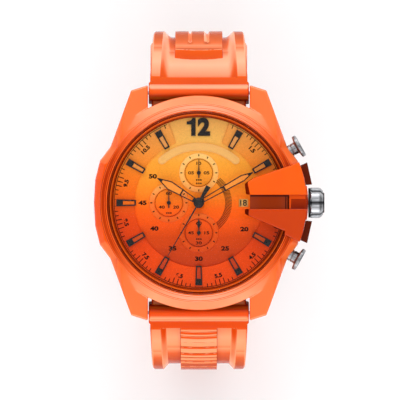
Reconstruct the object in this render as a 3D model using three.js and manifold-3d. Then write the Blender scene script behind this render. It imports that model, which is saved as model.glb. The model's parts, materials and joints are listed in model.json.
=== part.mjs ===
// Chronograph dive watch with a translucent moulded case and strap.
// Millimetres. +Z points out of the dial, +Y to 12 o'clock, +X to 3 o'clock (the crown side).
// The origin is the centre of the case back's outer face. The strap hangs below it, unbuckled and
// curved into its wrist shape, so that the watch stands on the tail of the 6 o'clock strap.
import * as THREE from "three";
import { mergeVertices } from "three/addons/utils/BufferGeometryUtils.js";
import Module from "manifold-3d";

const wasm = await Module();
wasm.setup();

// ---------- driving dimensions ----------
const LUG_GAP = 25.0; // between the lugs' inner faces
const CASE_HALF_WIDTH = 25.75; // at 9 o'clock
const CASE_OUTLINE = [[12.5, 28.9], [16.6, 27.6], [21.66, 13.8], [24.28, 10.3]]; // upper right quarter
const SIDE_BOW_START = [25.45, 5.6]; // where the side's flat bow meets the corner facet
const CASE_Z = [1.5, 10.2]; // back face and top face of the middle case
const FLANGE_RADIUS = 26.3; // the round skirt between the lugs
const FLANGE_Z = 5.0; // its underside, above the strap's end bar
const BORE_RADIUS = 21.45; // movement chamber
const SEAT_RADIUS = 22.6; // wider bore above the dial, for the rehaut
const SEAT_Z = 8.2;
const BACK_THICKNESS = 1.2;
const SCREW_CIRCLE = 24.0; // case back screws
const SCREW_ANGLES = [45, 135, 225, 315];
const BEZEL_TOP = 12.4;
const CRYSTAL_RADIUS = 22.4;
const CRYSTAL_Z = [10.35, 12.35];
const DIAL_Z = 7.45; // underside of the dial plate
const DIAL_RADIUS = 21.2;
const SUBDIAL_OFFSET = 7.35;
const STEM_Z = 5.6; // height of the crown's and pushers' axes
const CROWN_X = [26.85, 30.8];
const CROWN_RADIUS = 3.75;
const CROWN_LOBES = 6;
const PUSHER_ANGLE = 29.5; // degrees above and below 3 o'clock
const PUSHER_CAP = [27.65, 28.75]; // along the pusher's axis from the centre
const PUSHER_CAP_RADIUS = 2.85;
const PUSHER_SLEEVE_RADIUS = 1.5;
const PUSHER_PIN_RADIUS = 0.42;
const LUG_PIVOT = [27.0, 2.4]; // distance from the centre and height of both spring bars
const HAND_ANGLES = { hour: 300.8, minute: 60.6, chrono: 210.3 }; // degrees clockwise from 12
const GUARD_Z = [12.55, 14.3]; // the crown guard's cover, above the crystal
const BAR_RADIUS = 2.3; // the strap's round end bars, between the lugs
const SPRING_BAR = { body: 0.78, tip: 0.4, bore: 0.85, pivotBore: 0.5 }; // radii
const UPPER_BLOCK = 5.85; // half width of the raised block along the 12 o'clock strap
const LOWER_BLOCK = 4.5; // and along the 6 o'clock strap
const TONGUE_WIDTH = 2.1;
const BUCKLE = { half: 12.25, window: 11.0, length: 15.6, thickness: 2.4 };

const ROUND = 60; // facets of the large visible circles
const HIDDEN_ROUND = 36;
const SMALL_ROUND = 16;

// ---------- materials ----------
const material = (color, roughness, metalness = 0) =>
  new THREE.MeshStandardMaterial({ color, roughness, metalness });
const ORANGE_SHELL = material(0xf9602a, 0.25);
const ORANGE_STRAP = material(0xf7804a, 0.3);
const ORANGE_DARK = material(0x56180a, 0.35);
const DIAL_ORANGE = material(0xf9861f, 0.4);
const RING_ORANGE = material(0xee6c12, 0.4);
const CREAM = material(0xf3c884, 0.45);
const BLACK = material(0x1c1714, 0.4);
const STEEL = material(0xc9cacc, 0.25, 1);
const BRASS = material(0xc9a25a, 0.35, 1);
const GLASS = material(0xf2f6f8, 0.05);
const RUBBER = material(0x20201f, 0.8);
const RESIN = material(0x3c3a38, 0.6);
const BOARD = material(0x2c6b3c, 0.5);
const COPPER = material(0xb8683a, 0.4, 1);
const DATE_WHITE = material(0xf6e6c4, 0.6);

// ---------- solids ----------
// A closed surface as a solid, with its collapsed triangles dropped and its faces turned out.
function solid(geometry) {
  const flat = geometry.index ? geometry.toNonIndexed() : geometry;
  const bare = new THREE.BufferGeometry().setAttribute("position", flat.getAttribute("position"));
  const merged = mergeVertices(bare, 1e-4);
  const triangles = [];
  for (let i = 0; i < merged.index.count; i += 3) {
    const [a, b, c] = [0, 1, 2].map((k) => merged.index.getX(i + k));
    if (a !== b && b !== c && c !== a) triangles.push([a, b, c]);
  }
  const build = (list) =>
    new wasm.Manifold(
      new wasm.Mesh({
        numProp: 3,
        vertProperties: Float32Array.from(merged.attributes.position.array),
        triVerts: Uint32Array.from(list.flat()),
      })
    );
  const made = build(triangles);
  return made.volume() < 0 ? build(triangles.map(([a, b, c]) => [a, c, b])) : made;
}

const join = (first, ...rest) => rest.reduce((whole, part) => whole.add(part), first);
const cut = (first, ...rest) => rest.reduce((whole, part) => whole.subtract(part), first);

// A solid of revolution about Z. A profile of [radius, z] off the axis is closed on itself.
function revolve(profile, segments = ROUND) {
  const points = profile.map(([r, z]) => new THREE.Vector2(r, z));
  if (profile[0][0] > 0 || profile.at(-1)[0] > 0) points.push(points[0].clone());
  return new THREE.LatheGeometry(points, segments).rotateX(Math.PI / 2);
}

const ring = (inner, outer, z0, z1, segments = ROUND) =>
  revolve([[inner, z0], [outer, z0], [outer, z1], [inner, z1]], segments);
const disc = (radius, z0, z1, segments = ROUND) =>
  revolve([[0, z0], [radius, z0], [radius, z1], [0, z1]], segments);

// A flat plate of an outline of [x, y] points, with optional holes, from z0 to z1.
function plate(outline, z0, z1, holes = []) {
  const shape = new THREE.Shape(outline.map(([x, y]) => new THREE.Vector2(x, y)));
  shape.holes = holes.map((hole) => new THREE.Path(hole.map(([x, y]) => new THREE.Vector2(x, y))));
  return new THREE.ExtrudeGeometry(shape, { depth: z1 - z0, bevelEnabled: false }).translate(0, 0, z0);
}

const block = ([x0, y0, z0], [x1, y1, z1]) =>
  new THREE.BoxGeometry(x1 - x0, y1 - y0, z1 - z0).translate((x0 + x1) / 2, (y0 + y1) / 2, (z0 + z1) / 2);

// A round rod along X, and one along a direction in the XY plane at the stem's height.
const rodX = (radius, x0, x1, y, z, segments = SMALL_ROUND) =>
  new THREE.CylinderGeometry(radius, radius, x1 - x0, segments)
    .rotateZ(Math.PI / 2)
    .translate((x0 + x1) / 2, y, z);
const radialRod = (radius, r0, r1, degrees, segments = SMALL_ROUND) =>
  rodX(radius, r0, r1, 0, STEM_Z, segments).rotateZ(THREE.MathUtils.degToRad(degrees));
const rodTube = (inner, outer, x0, x1) =>
  cut(solid(rodX(outer, x0, x1, 0, STEM_Z)), solid(rodX(inner, x0 - 1, x1 + 1, 0, STEM_Z)));

const polar = (radius, degrees) => {
  const a = THREE.MathUtils.degToRad(degrees);
  return [radius * Math.cos(a), radius * Math.sin(a)];
};
// Degrees clockwise from 12 o'clock to degrees anticlockwise from +X.
const clock = (degrees) => 90 - degrees;

// The flat outline of part of a ring, from one angle to another.
function arcBand(inner, outer, from, to, steps) {
  const angles = Array.from({ length: steps + 1 }, (_, i) => from + ((to - from) * i) / steps);
  return [...angles.map((a) => polar(outer, a)), ...angles.reverse().map((a) => polar(inner, a))];
}

// A straight-sided gear outline with its first tooth at `phase` degrees.
function gearOutline(teeth, root, tip, phase = 0) {
  const pitch = 360 / teeth;
  return Array.from({ length: teeth }, (_, i) => [
    polar(root, phase + (i - 0.26) * pitch),
    polar(tip, phase + (i - 0.12) * pitch),
    polar(tip, phase + (i + 0.12) * pitch),
    polar(root, phase + (i + 0.26) * pitch),
  ]).flat();
}

// ---------- scene graph ----------
const watch = new THREE.Group();
function surfaceOf(shape) {
  const made = shape.getMesh();
  const geometry = new THREE.BufferGeometry();
  geometry.setAttribute("position", new THREE.BufferAttribute(Float32Array.from(made.vertProperties), 3));
  geometry.setIndex(new THREE.BufferAttribute(Uint32Array.from(made.triVerts), 1));
  return geometry;
}

function add(name, shape, look) {
  const geometry = surfaceOf(shape.getMesh ? shape : solid(shape));
  geometry.computeVertexNormals();
  const mesh = new THREE.Mesh(geometry, look);
  mesh.name = name;
  watch.add(mesh);
  return mesh;
}

// ---------- middle case ----------
function caseOutline() {
  const right = [...CASE_OUTLINE, SIDE_BOW_START, [CASE_HALF_WIDTH, 0]];
  const mirrored = right.slice(0, -1).reverse().map(([x, y]) => [x, -y]);
  const east = [...right, ...mirrored];
  return [...east, ...east.map(([x, y]) => [-x, y]).reverse()];
}

// A screw-sized shape moved to one of the case back's screws.
function atScrew(shape, degrees) {
  const [x, y] = polar(SCREW_CIRCLE, degrees);
  return solid(shape.translate(x, y, 0));
}

function middleCase() {
  const flankTop = 7.5;
  const chamfer = 1.85;
  const depth = 24;
  const outline = new THREE.Shape(caseOutline().map(([x, y]) => new THREE.Vector2(x, y)));
  const body = solid(
    new THREE.ExtrudeGeometry(outline, {
      depth,
      bevelEnabled: true,
      bevelThickness: CASE_Z[1] - flankTop,
      bevelSize: chamfer,
      bevelOffset: -chamfer,
      bevelSegments: 1,
    }).translate(0, 0, flankTop - depth)
  );
  const slab = solid(block([-40, -40, -1.3], [40, 40, 20]));
  const lugWedge = (side) => {
    const above = [[16.8, 10.2], [29.5, 4.3], [29.5, 20], [16.8, 20]];
    return solid(plate(above, -40, 40).rotateX(Math.PI / 2).rotateZ(Math.PI / 2).scale(1, side, 1));
  };
  const underside = (side) => {
    const below = [[-1, -10], [-1, 1.5], [23.2, 1.5], [29.5, -1.3], [29.5, -10]];
    return solid(plate(below, -40, 40).rotateX(Math.PI / 2).rotateZ(Math.PI / 2).scale(1, side, 1));
  };
  const gap = (side) => solid(block([-LUG_GAP / 2, 22.9, -5], [LUG_GAP / 2, 35, 20]).scale(1, side, 1));
  const lugs = cut(
    body.intersect(slab), lugWedge(1), lugWedge(-1), underside(1), underside(-1), gap(1), gap(-1)
  );
  const skirt = solid(
    revolve([
      [0, FLANGE_Z], [FLANGE_RADIUS, FLANGE_Z], [FLANGE_RADIUS, 7.9], [24.3, CASE_Z[1]], [0, CASE_Z[1]],
    ])
  ).intersect(solid(block([-20, -40, 0], [20, 40, 20])));
  const bore = solid(
    revolve([
      [0, -5], [BORE_RADIUS, -5], [BORE_RADIUS, SEAT_Z], [SEAT_RADIUS, SEAT_Z], [SEAT_RADIUS, 20], [0, 20],
    ])
  );
  const pivotEnd = LUG_GAP / 2 + 1.2;
  const pivots = [1, -1].map((side) =>
    solid(rodX(SPRING_BAR.pivotBore, -pivotEnd, pivotEnd, side * LUG_PIVOT[0], LUG_PIVOT[1], 12))
  );
  const pusherBores = [PUSHER_ANGLE, -PUSHER_ANGLE].flatMap((a) => [
    solid(radialRod(PUSHER_SLEEVE_RADIUS + 0.12, 23.4, 30, a)),
    solid(radialRod(0.6, 18, 24, a, 12)),
  ]);
  const tubeBore = solid(rodX(1.68, 18, 30, 0, STEM_Z));
  const screwHoles = SCREW_ANGLES.map((a) => atScrew(disc(0.85, 0, 5.4, 12), a));
  return cut(join(lugs, skirt), bore, ...pivots, ...pusherBores, tubeBore, ...screwHoles);
}
add("case_middle", middleCase(), ORANGE_SHELL);

// ---------- case back, its gasket and screws ----------
function caseBack() {
  const flange = solid(
    revolve([[0, 0], [21.6, 0], [22.8, 0.7], [22.8, BACK_THICKNESS], [0, BACK_THICKNESS]])
  );
  const plug = solid(ring(19.6, 21.3, BACK_THICKNESS, 2.2, HIDDEN_ROUND));
  const ear = [[0, 0.25], [2.0, 0.25], [2.3, 0.6], [2.3, BACK_THICKNESS], [0, BACK_THICKNESS]];
  const sink = [[0, -1], [1.45, -1], [1.45, 0.75], [0.85, 0.75], [0.85, 3], [0, 3]];
  const ears = SCREW_ANGLES.map((a) => atScrew(revolve(ear, SMALL_ROUND), a));
  const sinks = SCREW_ANGLES.map((a) => atScrew(revolve(sink, SMALL_ROUND), a));
  return cut(join(flange, plug, ...ears), ...sinks);
}
add("case_back", caseBack(), STEEL);
add("case_back_gasket", ring(21.5, 22.5, BACK_THICKNESS + 0.02, CASE_Z[0] - 0.02, HIDDEN_ROUND), RUBBER);

function backScrew() {
  const body = solid(
    revolve([[0, 0.3], [1.15, 0.3], [1.3, 0.4], [1.3, 0.73], [0.7, 0.73], [0.7, 4.8], [0, 4.8]], 12)
  );
  return cut(body, solid(block([-2, -0.15, 0], [2, 0.15, 0.52])));
}
SCREW_ANGLES.forEach((angle, i) => {
  const screw = add(`case_back_screw_${i + 1}`, backScrew(), STEEL);
  const [x, y] = polar(SCREW_CIRCLE, angle);
  screw.position.set(x, y, 0);
});

// ---------- bezel, crystal, rehaut ----------
add(
  "bezel",
  revolve([[22.5, 10.25], [24.25, 10.25], [24.25, 11.2], [23.15, BEZEL_TOP], [22.5, BEZEL_TOP]]),
  ORANGE_SHELL
);
add(
  "crystal",
  revolve([
    [0, CRYSTAL_Z[0]], [CRYSTAL_RADIUS, CRYSTAL_Z[0]], [CRYSTAL_RADIUS, 12.1],
    [CRYSTAL_RADIUS - 0.25, CRYSTAL_Z[1]], [0, CRYSTAL_Z[1]],
  ]),
  GLASS
);
add("rehaut_ring", revolve([[20.95, 8.45], [22.5, 8.45], [22.5, 10.3], [22.1, 10.3]]), ORANGE_SHELL);

// ---------- dial ----------
const DATE_WINDOW = { x: [9.8, 12.1], halfHeight: 0.95 };
const SUBDIALS = { upper: [0, SUBDIAL_OFFSET], left: [-SUBDIAL_OFFSET, 0], lower: [0, -SUBDIAL_OFFSET] };
const PLATE_TOP = DIAL_Z + 0.4;
const RING_Z = [PLATE_TOP + 0.02, PLATE_TOP + 0.5];

function dialPlate() {
  const base = solid(disc(DIAL_RADIUS, DIAL_Z, PLATE_TOP));
  const recesses = Object.values(SUBDIALS).flatMap(([x, y]) => [
    solid(disc(3.55, PLATE_TOP - 0.15, PLATE_TOP + 1, HIDDEN_ROUND).translate(x, y, 0)),
    solid(disc(0.45, DIAL_Z - 1, PLATE_TOP + 1, 12).translate(x, y, 0)),
  ]);
  const { x, halfHeight } = DATE_WINDOW;
  const window = solid(block([x[0], -halfHeight, DIAL_Z - 1], [x[1], halfHeight, PLATE_TOP + 1]));
  const [low, high] = [PLATE_TOP - 0.1, PLATE_TOP + 0.2];
  const rings = Object.values(SUBDIALS).map(([cx, cy]) =>
    solid(
      revolve([[3.55, low], [4.85, low], [4.75, high], [3.75, high]], HIDDEN_ROUND).translate(cx, cy, 0)
    )
  );
  const centre = solid(disc(1.3, DIAL_Z - 1, PLATE_TOP + 1, SMALL_ROUND));
  return cut(join(cut(base, ...recesses, window), ...rings), centre);
}
add("dial_plate", dialPlate(), DIAL_ORANGE);
add("chapter_ring", plate(arcBand(15.8, 21.15, clock(21), clock(339), 60), ...RING_Z), RING_ORANGE);
add(
  "dial_badge_arc",
  plate(arcBand(12.8, 14.75, clock(41), clock(-41), 16), PLATE_TOP + 0.02, PLATE_TOP + 0.25),
  CREAM
);

// Applied hour markers: a tapered frame with a pocket for its luminous filling.
const INDEX_Z = [RING_Z[1] + 0.02, RING_Z[1] + 0.45];
function hourIndex() {
  const frame = solid(plate([[-0.69, 15.4], [0.69, 15.4], [0.865, 20.2], [-0.865, 20.2]], ...INDEX_Z));
  const pocket = solid(
    plate([[-0.4, 15.8], [0.4, 15.8], [0.5, 18.55], [-0.5, 18.55]], INDEX_Z[1] - 0.2, INDEX_Z[1] + 1)
  );
  return cut(frame, pocket);
}
for (const hour of [1, 2, 4, 5, 6, 7, 8, 9, 10, 11]) {
  const index = add(`hour_index_${String(hour).padStart(2, "0")}`, hourIndex(), BLACK);
  index.rotation.z = THREE.MathUtils.degToRad(-30 * hour);
}

// The applied 12: a one and a two on a thin common foot.
function numeralTwelve() {
  const z = [PLATE_TOP + 0.1, PLATE_TOP + 0.4];
  const one = [
    [-1.55, 16.4], [-1.55, 20.8], [-2.2, 20.8], [-2.8, 20.2], [-2.8, 19.55], [-2.35, 19.75], [-2.35, 16.4],
  ];
  const two = [
    [0.0, 16.4], [2.7, 16.4], [2.7, 17.15], [1.15, 17.15], [2.3, 18.35], [2.65, 19.1], [2.6, 19.9],
    [2.1, 20.6], [1.35, 20.85], [0.6, 20.65], [0.1, 20.1], [0.02, 19.4], [0.75, 19.4], [0.95, 19.95],
    [1.35, 20.1], [1.75, 19.9], [1.88, 19.45], [1.7, 18.85], [0.0, 17.05],
  ];
  const foot = solid(block([-2.3, 16.7, PLATE_TOP + 0.02], [0.6, 17.0, PLATE_TOP + 0.15]));
  return join(foot, solid(plate(one, ...z)), solid(plate(two, ...z)));
}
add("numeral_twelve", numeralTwelve(), BLACK);

// ---------- movement ----------
const PLATE_RADIUS = 15.2;
const MAIN_Z = [4.6, 6.6];
const MOTION_AXIS = polar(3.2, 225);

function mainPlate() {
  const base = solid(disc(PLATE_RADIUS, ...MAIN_Z, HIDDEN_ROUND));
  const stemNotch = solid(block([11.4, -1.5, 0], [20, 1.5, 10]));
  const arbors = [[0, 0], ...Object.values(SUBDIALS)];
  const holes = arbors.map(([x, y]) => solid(disc(0.3, 5.0, 10, 12).translate(x, y, 0)));
  const post = solid(disc(0.25, 6.5, 7.28, 12).translate(...MOTION_AXIS, 0));
  return join(cut(base, stemNotch, ...holes), post);
}
add("main_plate", mainPlate(), BRASS);

function movementHolder() {
  const body = solid(ring(15.4, 21.2, 2.35, DIAL_Z - 0.03, HIDDEN_ROUND));
  const channel = (degrees) =>
    solid(block([14, -1.1, 4.2], [25, 1.1, 6.9]).rotateZ(THREE.MathUtils.degToRad(degrees)));
  const slots = [0, PUSHER_ANGLE, -PUSHER_ANGLE].map(channel);
  return cut(body, ...slots);
}
add("movement_holder", movementHolder(), RESIN);

const CELL = { x: -6.2, y: -5.2, radius: 4.75, z: [2.35, 4.55] };
function circuitBoard() {
  const board = solid(plate(arcBand(2.0, 14.6, -150, 150, 30), 4.25, 4.55));
  return cut(board, solid(disc(CELL.radius + 0.2, 4, 5, HIDDEN_ROUND).translate(CELL.x, CELL.y, 0)));
}
add("circuit_board", circuitBoard(), BOARD);
add(
  "coin_cell",
  revolve(
    [[0, CELL.z[0]], [CELL.radius - 0.5, CELL.z[0]], [CELL.radius - 0.5, 2.6], [CELL.radius, 2.8],
     [CELL.radius, CELL.z[1]], [0, CELL.z[1]]],
    32
  ).translate(CELL.x, CELL.y, 0),
  STEEL
);
function steppingCoil() {
  const winding = solid(rodX(0.7, 2.0, 8.4, 8.2, 3.45, 12));
  const cheeks = [[1.5, 2.1], [8.3, 8.9]].map(([x0, x1]) => solid(block([x0, 7.3, 2.9], [x1, 9.1, 4.2])));
  return join(winding, ...cheeks);
}
add("stepping_coil", steppingCoil(), COPPER);
add("train_bridge", plate(arcBand(2.0, 14.6, -60, 28, 12), 3.3, 3.7), BRASS);
add(
  "date_disc",
  plate(arcBand(13.0, 13.0, 0, 354, 59).slice(0, 60), 7.0, 7.2, [gearOutline(31, 9.3, 9.75)]),
  DATE_WHITE
);

// ---------- motion works and hands ----------
const HAND_Z = { small: 8.15, hour: 8.95, minute: 9.4, chrono: 9.85 };
const HAND_THICKNESS = 0.16;
const withHole = (shape, radius, z0, z1) => cut(shape, solid(disc(radius, z0, z1, 12)));

add(
  "cannon_pinion",
  withHole(
    join(solid(plate(gearOutline(12, 0.66, 0.92), 6.72, 6.95)), solid(disc(0.6, 6.8, 9.66, SMALL_ROUND))),
    0.3, 6, 10
  ),
  STEEL
);
function motionWheel() {
  const wheel = solid(plate(gearOutline(36, 2.24, 2.5, 5), 6.72, 6.95));
  const pinion = solid(plate(gearOutline(10, 0.5, 0.74, 27), 6.9, 7.28));
  return withHole(join(wheel, pinion), 0.34, 6, 8);
}
add("motion_wheel", motionWheel(), BRASS).position.set(...MOTION_AXIS, 0);
add(
  "hour_wheel",
  withHole(
    join(solid(plate(gearOutline(40, 2.42, 2.66), 7.02, 7.25)), solid(disc(1.0, 7.1, 9.2, SMALL_ROUND))),
    0.7, 6, 10
  ),
  BRASS
);

// A skeleton hand that points to +Y: a neck, a shoulder and a point, with a window below its cross bar.
function skeletonHand({ hub, bore, neck, barAt, shoulder, shoulderAt, length, z }) {
  const outer = [
    [neck, 0.6], [shoulder, shoulderAt], [0.12, length],
    [-0.12, length], [-shoulder, shoulderAt], [-neck, 0.6],
  ];
  const rim = 0.25;
  const widthAt = (y) => neck + ((shoulder - neck) * (y - 0.6)) / (shoulderAt - 0.6) - rim;
  const inner = [[widthAt(hub + 0.4), hub + 0.4], [widthAt(barAt - 0.15), barAt - 0.15]];
  const lower = [...inner, ...inner.map(([x, y]) => [-x, y]).reverse()];
  const blade = solid(plate(outer, z, z + HAND_THICKNESS));
  const window = solid(plate(lower, z - 1, z + 1));
  const boss = solid(disc(hub, z, z + 0.25, SMALL_ROUND));
  return withHole(join(cut(blade, window), boss), bore, z - 1, z + 1);
}
const aim = (mesh, degrees) => {
  mesh.rotation.z = THREE.MathUtils.degToRad(-degrees);
  return mesh;
};
aim(
  add(
    "hour_hand",
    skeletonHand({
      hub: 1.35, bore: 1.04, neck: 0.55, barAt: 4.9, shoulder: 1.15, shoulderAt: 8.3, length: 11.8,
      z: HAND_Z.hour,
    }),
    BLACK
  ),
  HAND_ANGLES.hour
);
aim(
  add(
    "minute_hand",
    skeletonHand({
      hub: 1.1, bore: 0.64, neck: 0.5, barAt: 7.2, shoulder: 0.84, shoulderAt: 12.4, length: 15.2,
      z: HAND_Z.minute,
    }),
    BLACK
  ),
  HAND_ANGLES.minute
);

function chronoHand() {
  const z = HAND_Z.chrono;
  const needle = solid(plate([[-0.2, 0], [0.2, 0], [0.1, 15.0], [-0.1, 15.0]], z, z + 0.14));
  const tail = solid(plate([[-0.3, 0], [0.3, 0], [0.6, -4.65], [-0.6, -4.65]], z, z + 0.2));
  const boss = solid(disc(0.95, z, z + 0.32, SMALL_ROUND));
  const arbor = solid(disc(0.22, 5.1, z + 0.1, 12));
  return join(needle, tail, boss, arbor);
}
aim(add("chrono_seconds_hand", chronoHand(), BLACK), HAND_ANGLES.chrono);

function smallHand(width, length, tail) {
  const z = HAND_Z.small;
  const blade = [[-width, 0], [-0.08, length], [0.08, length], [width, 0], [0.12, -tail], [-0.12, -tail]];
  return join(
    solid(plate(blade, z, z + 0.14)),
    solid(disc(0.5, z, z + 0.25, SMALL_ROUND)),
    solid(disc(0.2, 5.1, z + 0.1, 12))
  );
}
add("tenths_hand", smallHand(0.14, 3.3, 1.3), BLACK).position.set(...SUBDIALS.upper, 0);
add("minute_counter_hand", smallHand(0.14, 3.3, 1.3), BLACK).position.set(...SUBDIALS.left, 0);
add("running_seconds_hand", smallHand(0.42, 3.3, 0.5), BLACK).position.set(...SUBDIALS.lower, 0);

// ---------- crown ----------
add("crown_tube", rodTube(0.65, 1.63, 21.9, 26.7), STEEL);

function crown() {
  const pitch = 360 / CROWN_LOBES;
  const lobe = [[-0.42, 0.5], [-0.3, 0.25], [0, 0], [0.3, 0.25], [0.42, 0.5]];
  const outline = Array.from({ length: CROWN_LOBES }, (_, i) =>
    lobe.map(([t, depth]) => polar(CROWN_RADIUS - depth, pitch * (i + 0.5 + t)))
  ).flat();
  const knob = solid(plate(outline, CROWN_X[0] + 0.3, CROWN_X[1]));
  const envelope = solid(
    revolve(
      [
        [0, 20], [CROWN_RADIUS, 20], [CROWN_RADIUS, CROWN_X[1] - 0.9],
        [CROWN_RADIUS - 0.7, CROWN_X[1]], [0, CROWN_X[1]],
      ],
      40
    )
  );
  const skirt = solid(disc(CROWN_RADIUS - 0.15, CROWN_X[0], CROWN_X[0] + 0.35, 40));
  const socket = solid(disc(0.62, 20, 29.0, SMALL_ROUND));
  const along = (shape) => shape.rotate([0, 90, 0]).translate([0, 0, STEM_Z]);
  return along(cut(join(knob.intersect(envelope), skirt), socket));
}
add("crown", crown(), STEEL);
function crownStem() {
  const rod = solid(rodX(0.58, 12.2, 28.9, 0, STEM_Z, SMALL_ROUND));
  const groove = cut(solid(rodX(1, 13.2, 13.7, 0, STEM_Z, 12)), solid(rodX(0.36, 13, 14, 0, STEM_Z, 12)));
  return cut(rod, groove);
}
add("crown_stem", crownStem(), STEEL);
add(
  "setting_lever",
  cut(
    solid(block([13.27, -1.25, 4.75], [13.63, 1.25, 6.5])),
    solid(block([13, -0.42, 4], [14, 0.42, STEM_Z + 0.42]))
  ),
  STEEL
);

// ---------- pushers ----------
function pusher(degrees) {
  const cap = solid(radialRod(PUSHER_CAP_RADIUS, ...PUSHER_CAP, degrees, 32));
  const sleeve = cut(
    solid(radialRod(PUSHER_SLEEVE_RADIUS, 24.4, PUSHER_CAP[0] + 0.1, degrees, 24)),
    solid(radialRod(1.15, 24, PUSHER_CAP[0], degrees))
  );
  const pin = solid(radialRod(PUSHER_PIN_RADIUS, 20.6, PUSHER_CAP[0] + 0.1, degrees, 12));
  return join(cap, sleeve, pin);
}

class Helix extends THREE.Curve {
  constructor(radius, start, end, turns) {
    super();
    Object.assign(this, { radius, start, end, turns });
  }
  getPoint(t, target = new THREE.Vector3()) {
    const a = t * this.turns * 2 * Math.PI;
    const x = this.start + (this.end - this.start) * t;
    return target.set(x, this.radius * Math.cos(a), STEM_Z + this.radius * Math.sin(a));
  }
}
function pusherSpring(degrees) {
  const corners = Array.from({ length: 5 }, (_, i) => new THREE.Vector2(...polar(0.13, 72 * i)));
  const wire = new THREE.Shape(corners);
  const turns = 4.5;
  const extrudePath = new Helix(0.8, 23.6, 27.45, turns);
  const coil = new THREE.ExtrudeGeometry(wire, { steps: turns * 8, extrudePath, bevelEnabled: false });
  return coil.rotateZ(THREE.MathUtils.degToRad(degrees));
}
for (const [name, degrees] of [["upper", PUSHER_ANGLE], ["lower", -PUSHER_ANGLE]]) {
  add(`pusher_${name}`, pusher(degrees), STEEL);
  add(`pusher_spring_${name}`, pusherSpring(degrees), STEEL);
}

// ---------- crown guard ----------
// A wedge plate that bridges the bezel and the crystal at 3 o'clock, with a slot over the date.
function crownGuard() {
  const rim = [22, 15, 8, 0, -8, -15, -21].map((a) => polar(26.4, a));
  const inner = [
    [13.3, 6.1], [10.95, 4.6], [11.4, 1.95], [22.0, 1.95], [22.0, -1.5], [11.1, -1.5], [11.1, -2.7],
  ];
  const outline = [...inner, [20.85, -6.9], [20.8, -7.8], ...rim.reverse()];
  const cover = solid(plate(outline, ...GUARD_Z));
  const roof = [-1, 1].map((side) => {
    const above = [[1.0, 14.2], [11, 12.9], [11, 20], [1.0, 20]];
    return solid(plate(above, 0, 40).rotateX(Math.PI / 2).rotateZ(Math.PI / 2).scale(1, side, 1));
  });
  const ahead = [[5, 12], [11.0, 12.6], [13.4, 14.4], [13.4, 20], [5, 20]];
  const nose = solid(plate(ahead, -20, 20).rotateX(Math.PI / 2));
  const leg = solid(plate(arcBand(24.5, 26.4, -21, 22, 10), 10.4, 12.7)).add(
    solid(plate(arcBand(25.95, 26.75, -9, 9, 6), 8.9, 12.7))
  );
  const channel = solid(block([21.9, -1.5, 13.55], [30, 1.95, 20]));
  return cut(join(cover, leg), ...roof, nose, channel);
}
add("crown_guard", crownGuard(), ORANGE_SHELL);

// Dark shoulders on each side of the crown.
function guardBlock(side) {
  const outline = [[25.95, 4.3], [27.75, 4.5], [26.55, 9.9], [24.95, 9.2], [25.6, 6.2]];
  return plate(outline, 2.4, 8.7).scale(1, side, 1);
}
add("guard_block_upper", guardBlock(1), ORANGE_DARK);
add("guard_block_lower", guardBlock(-1), ORANGE_DARK);

// ---------- strap ----------
// A strap's spine in the side view, as straights and arcs. `down` is the heading's angle below the
// outward horizontal.
class Spine {
  constructor(heading, runs) {
    this.runs = [];
    let [out, z, down, s] = [...LUG_PIVOT, THREE.MathUtils.degToRad(heading), 0];
    for (const { length, radius, turn } of runs) {
      const sweep = turn ? THREE.MathUtils.degToRad(turn) : 0;
      const span = turn ? radius * sweep : length;
      const run = { s, span, out, z, down, radius, sweep };
      this.runs.push(run);
      ({ out, z, down } = Spine.along(run, span));
      s += span;
    }
    this.length = s;
  }
  static along({ out, z, down, radius, sweep }, d) {
    if (!sweep) return { out: out + d * Math.cos(down), z: z - d * Math.sin(down), down };
    const to = down + d / radius;
    return {
      out: out + radius * (Math.sin(to) - Math.sin(down)),
      z: z - radius * (Math.cos(down) - Math.cos(to)),
      down: to,
    };
  }
  at(s) {
    const run = this.runs.findLast((r) => s >= r.s) ?? this.runs[0];
    return Spine.along(run, s - run.s);
  }
}
const UPPER_SPINE = new Spine(25, [
  { length: 3.5 }, { radius: 15, turn: 65 }, { radius: 25, turn: 35 }, { length: 14.4 },
]);
const LOWER_SPINE = new Spine(28, [
  { length: 3.5 }, { radius: 14, turn: 62 }, { radius: 130, turn: 15 }, { radius: 20, turn: 75 },
  { length: 36 },
]);

// A frame on the spine: X across the strap, Y along it, Z out of its outer face.
function frameAt(spine, s, side) {
  const { out, z, down } = spine.at(s);
  const along = new THREE.Vector3(0, side * Math.cos(down), -Math.sin(down));
  const normal = new THREE.Vector3(0, side * Math.sin(down), Math.cos(down));
  return new THREE.Matrix4()
    .makeBasis(new THREE.Vector3(side, 0, 0), along, normal)
    .setPosition(0, side * out, z);
}

const ramp = (s, stops) => {
  const i = stops.findIndex(([at]) => at > s);
  if (i < 0) return stops.at(-1)[1];
  if (i === 0) return stops[0][1];
  const [[a, va], [b, vb]] = [stops[i - 1], stops[i]];
  return va + ((vb - va) * (s - a)) / (b - a);
};

// One cross section of a strap: rails at the edges, grooves, and a raised block along the middle.
function section(width, inner, floor, rail, middle, blockWidth) {
  const railWidth = Math.min(2.6, width * 0.26);
  const half = [
    [width - 0.5, -inner], [width, -inner + 0.5], [width, floor + rail], [width - railWidth, floor + rail],
    [width - railWidth - 1.3, floor], [blockWidth + 0.15, floor], [blockWidth, floor + middle],
  ];
  return [...half, ...half.map(([x, n]) => [-x, n]).reverse()];
}

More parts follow.
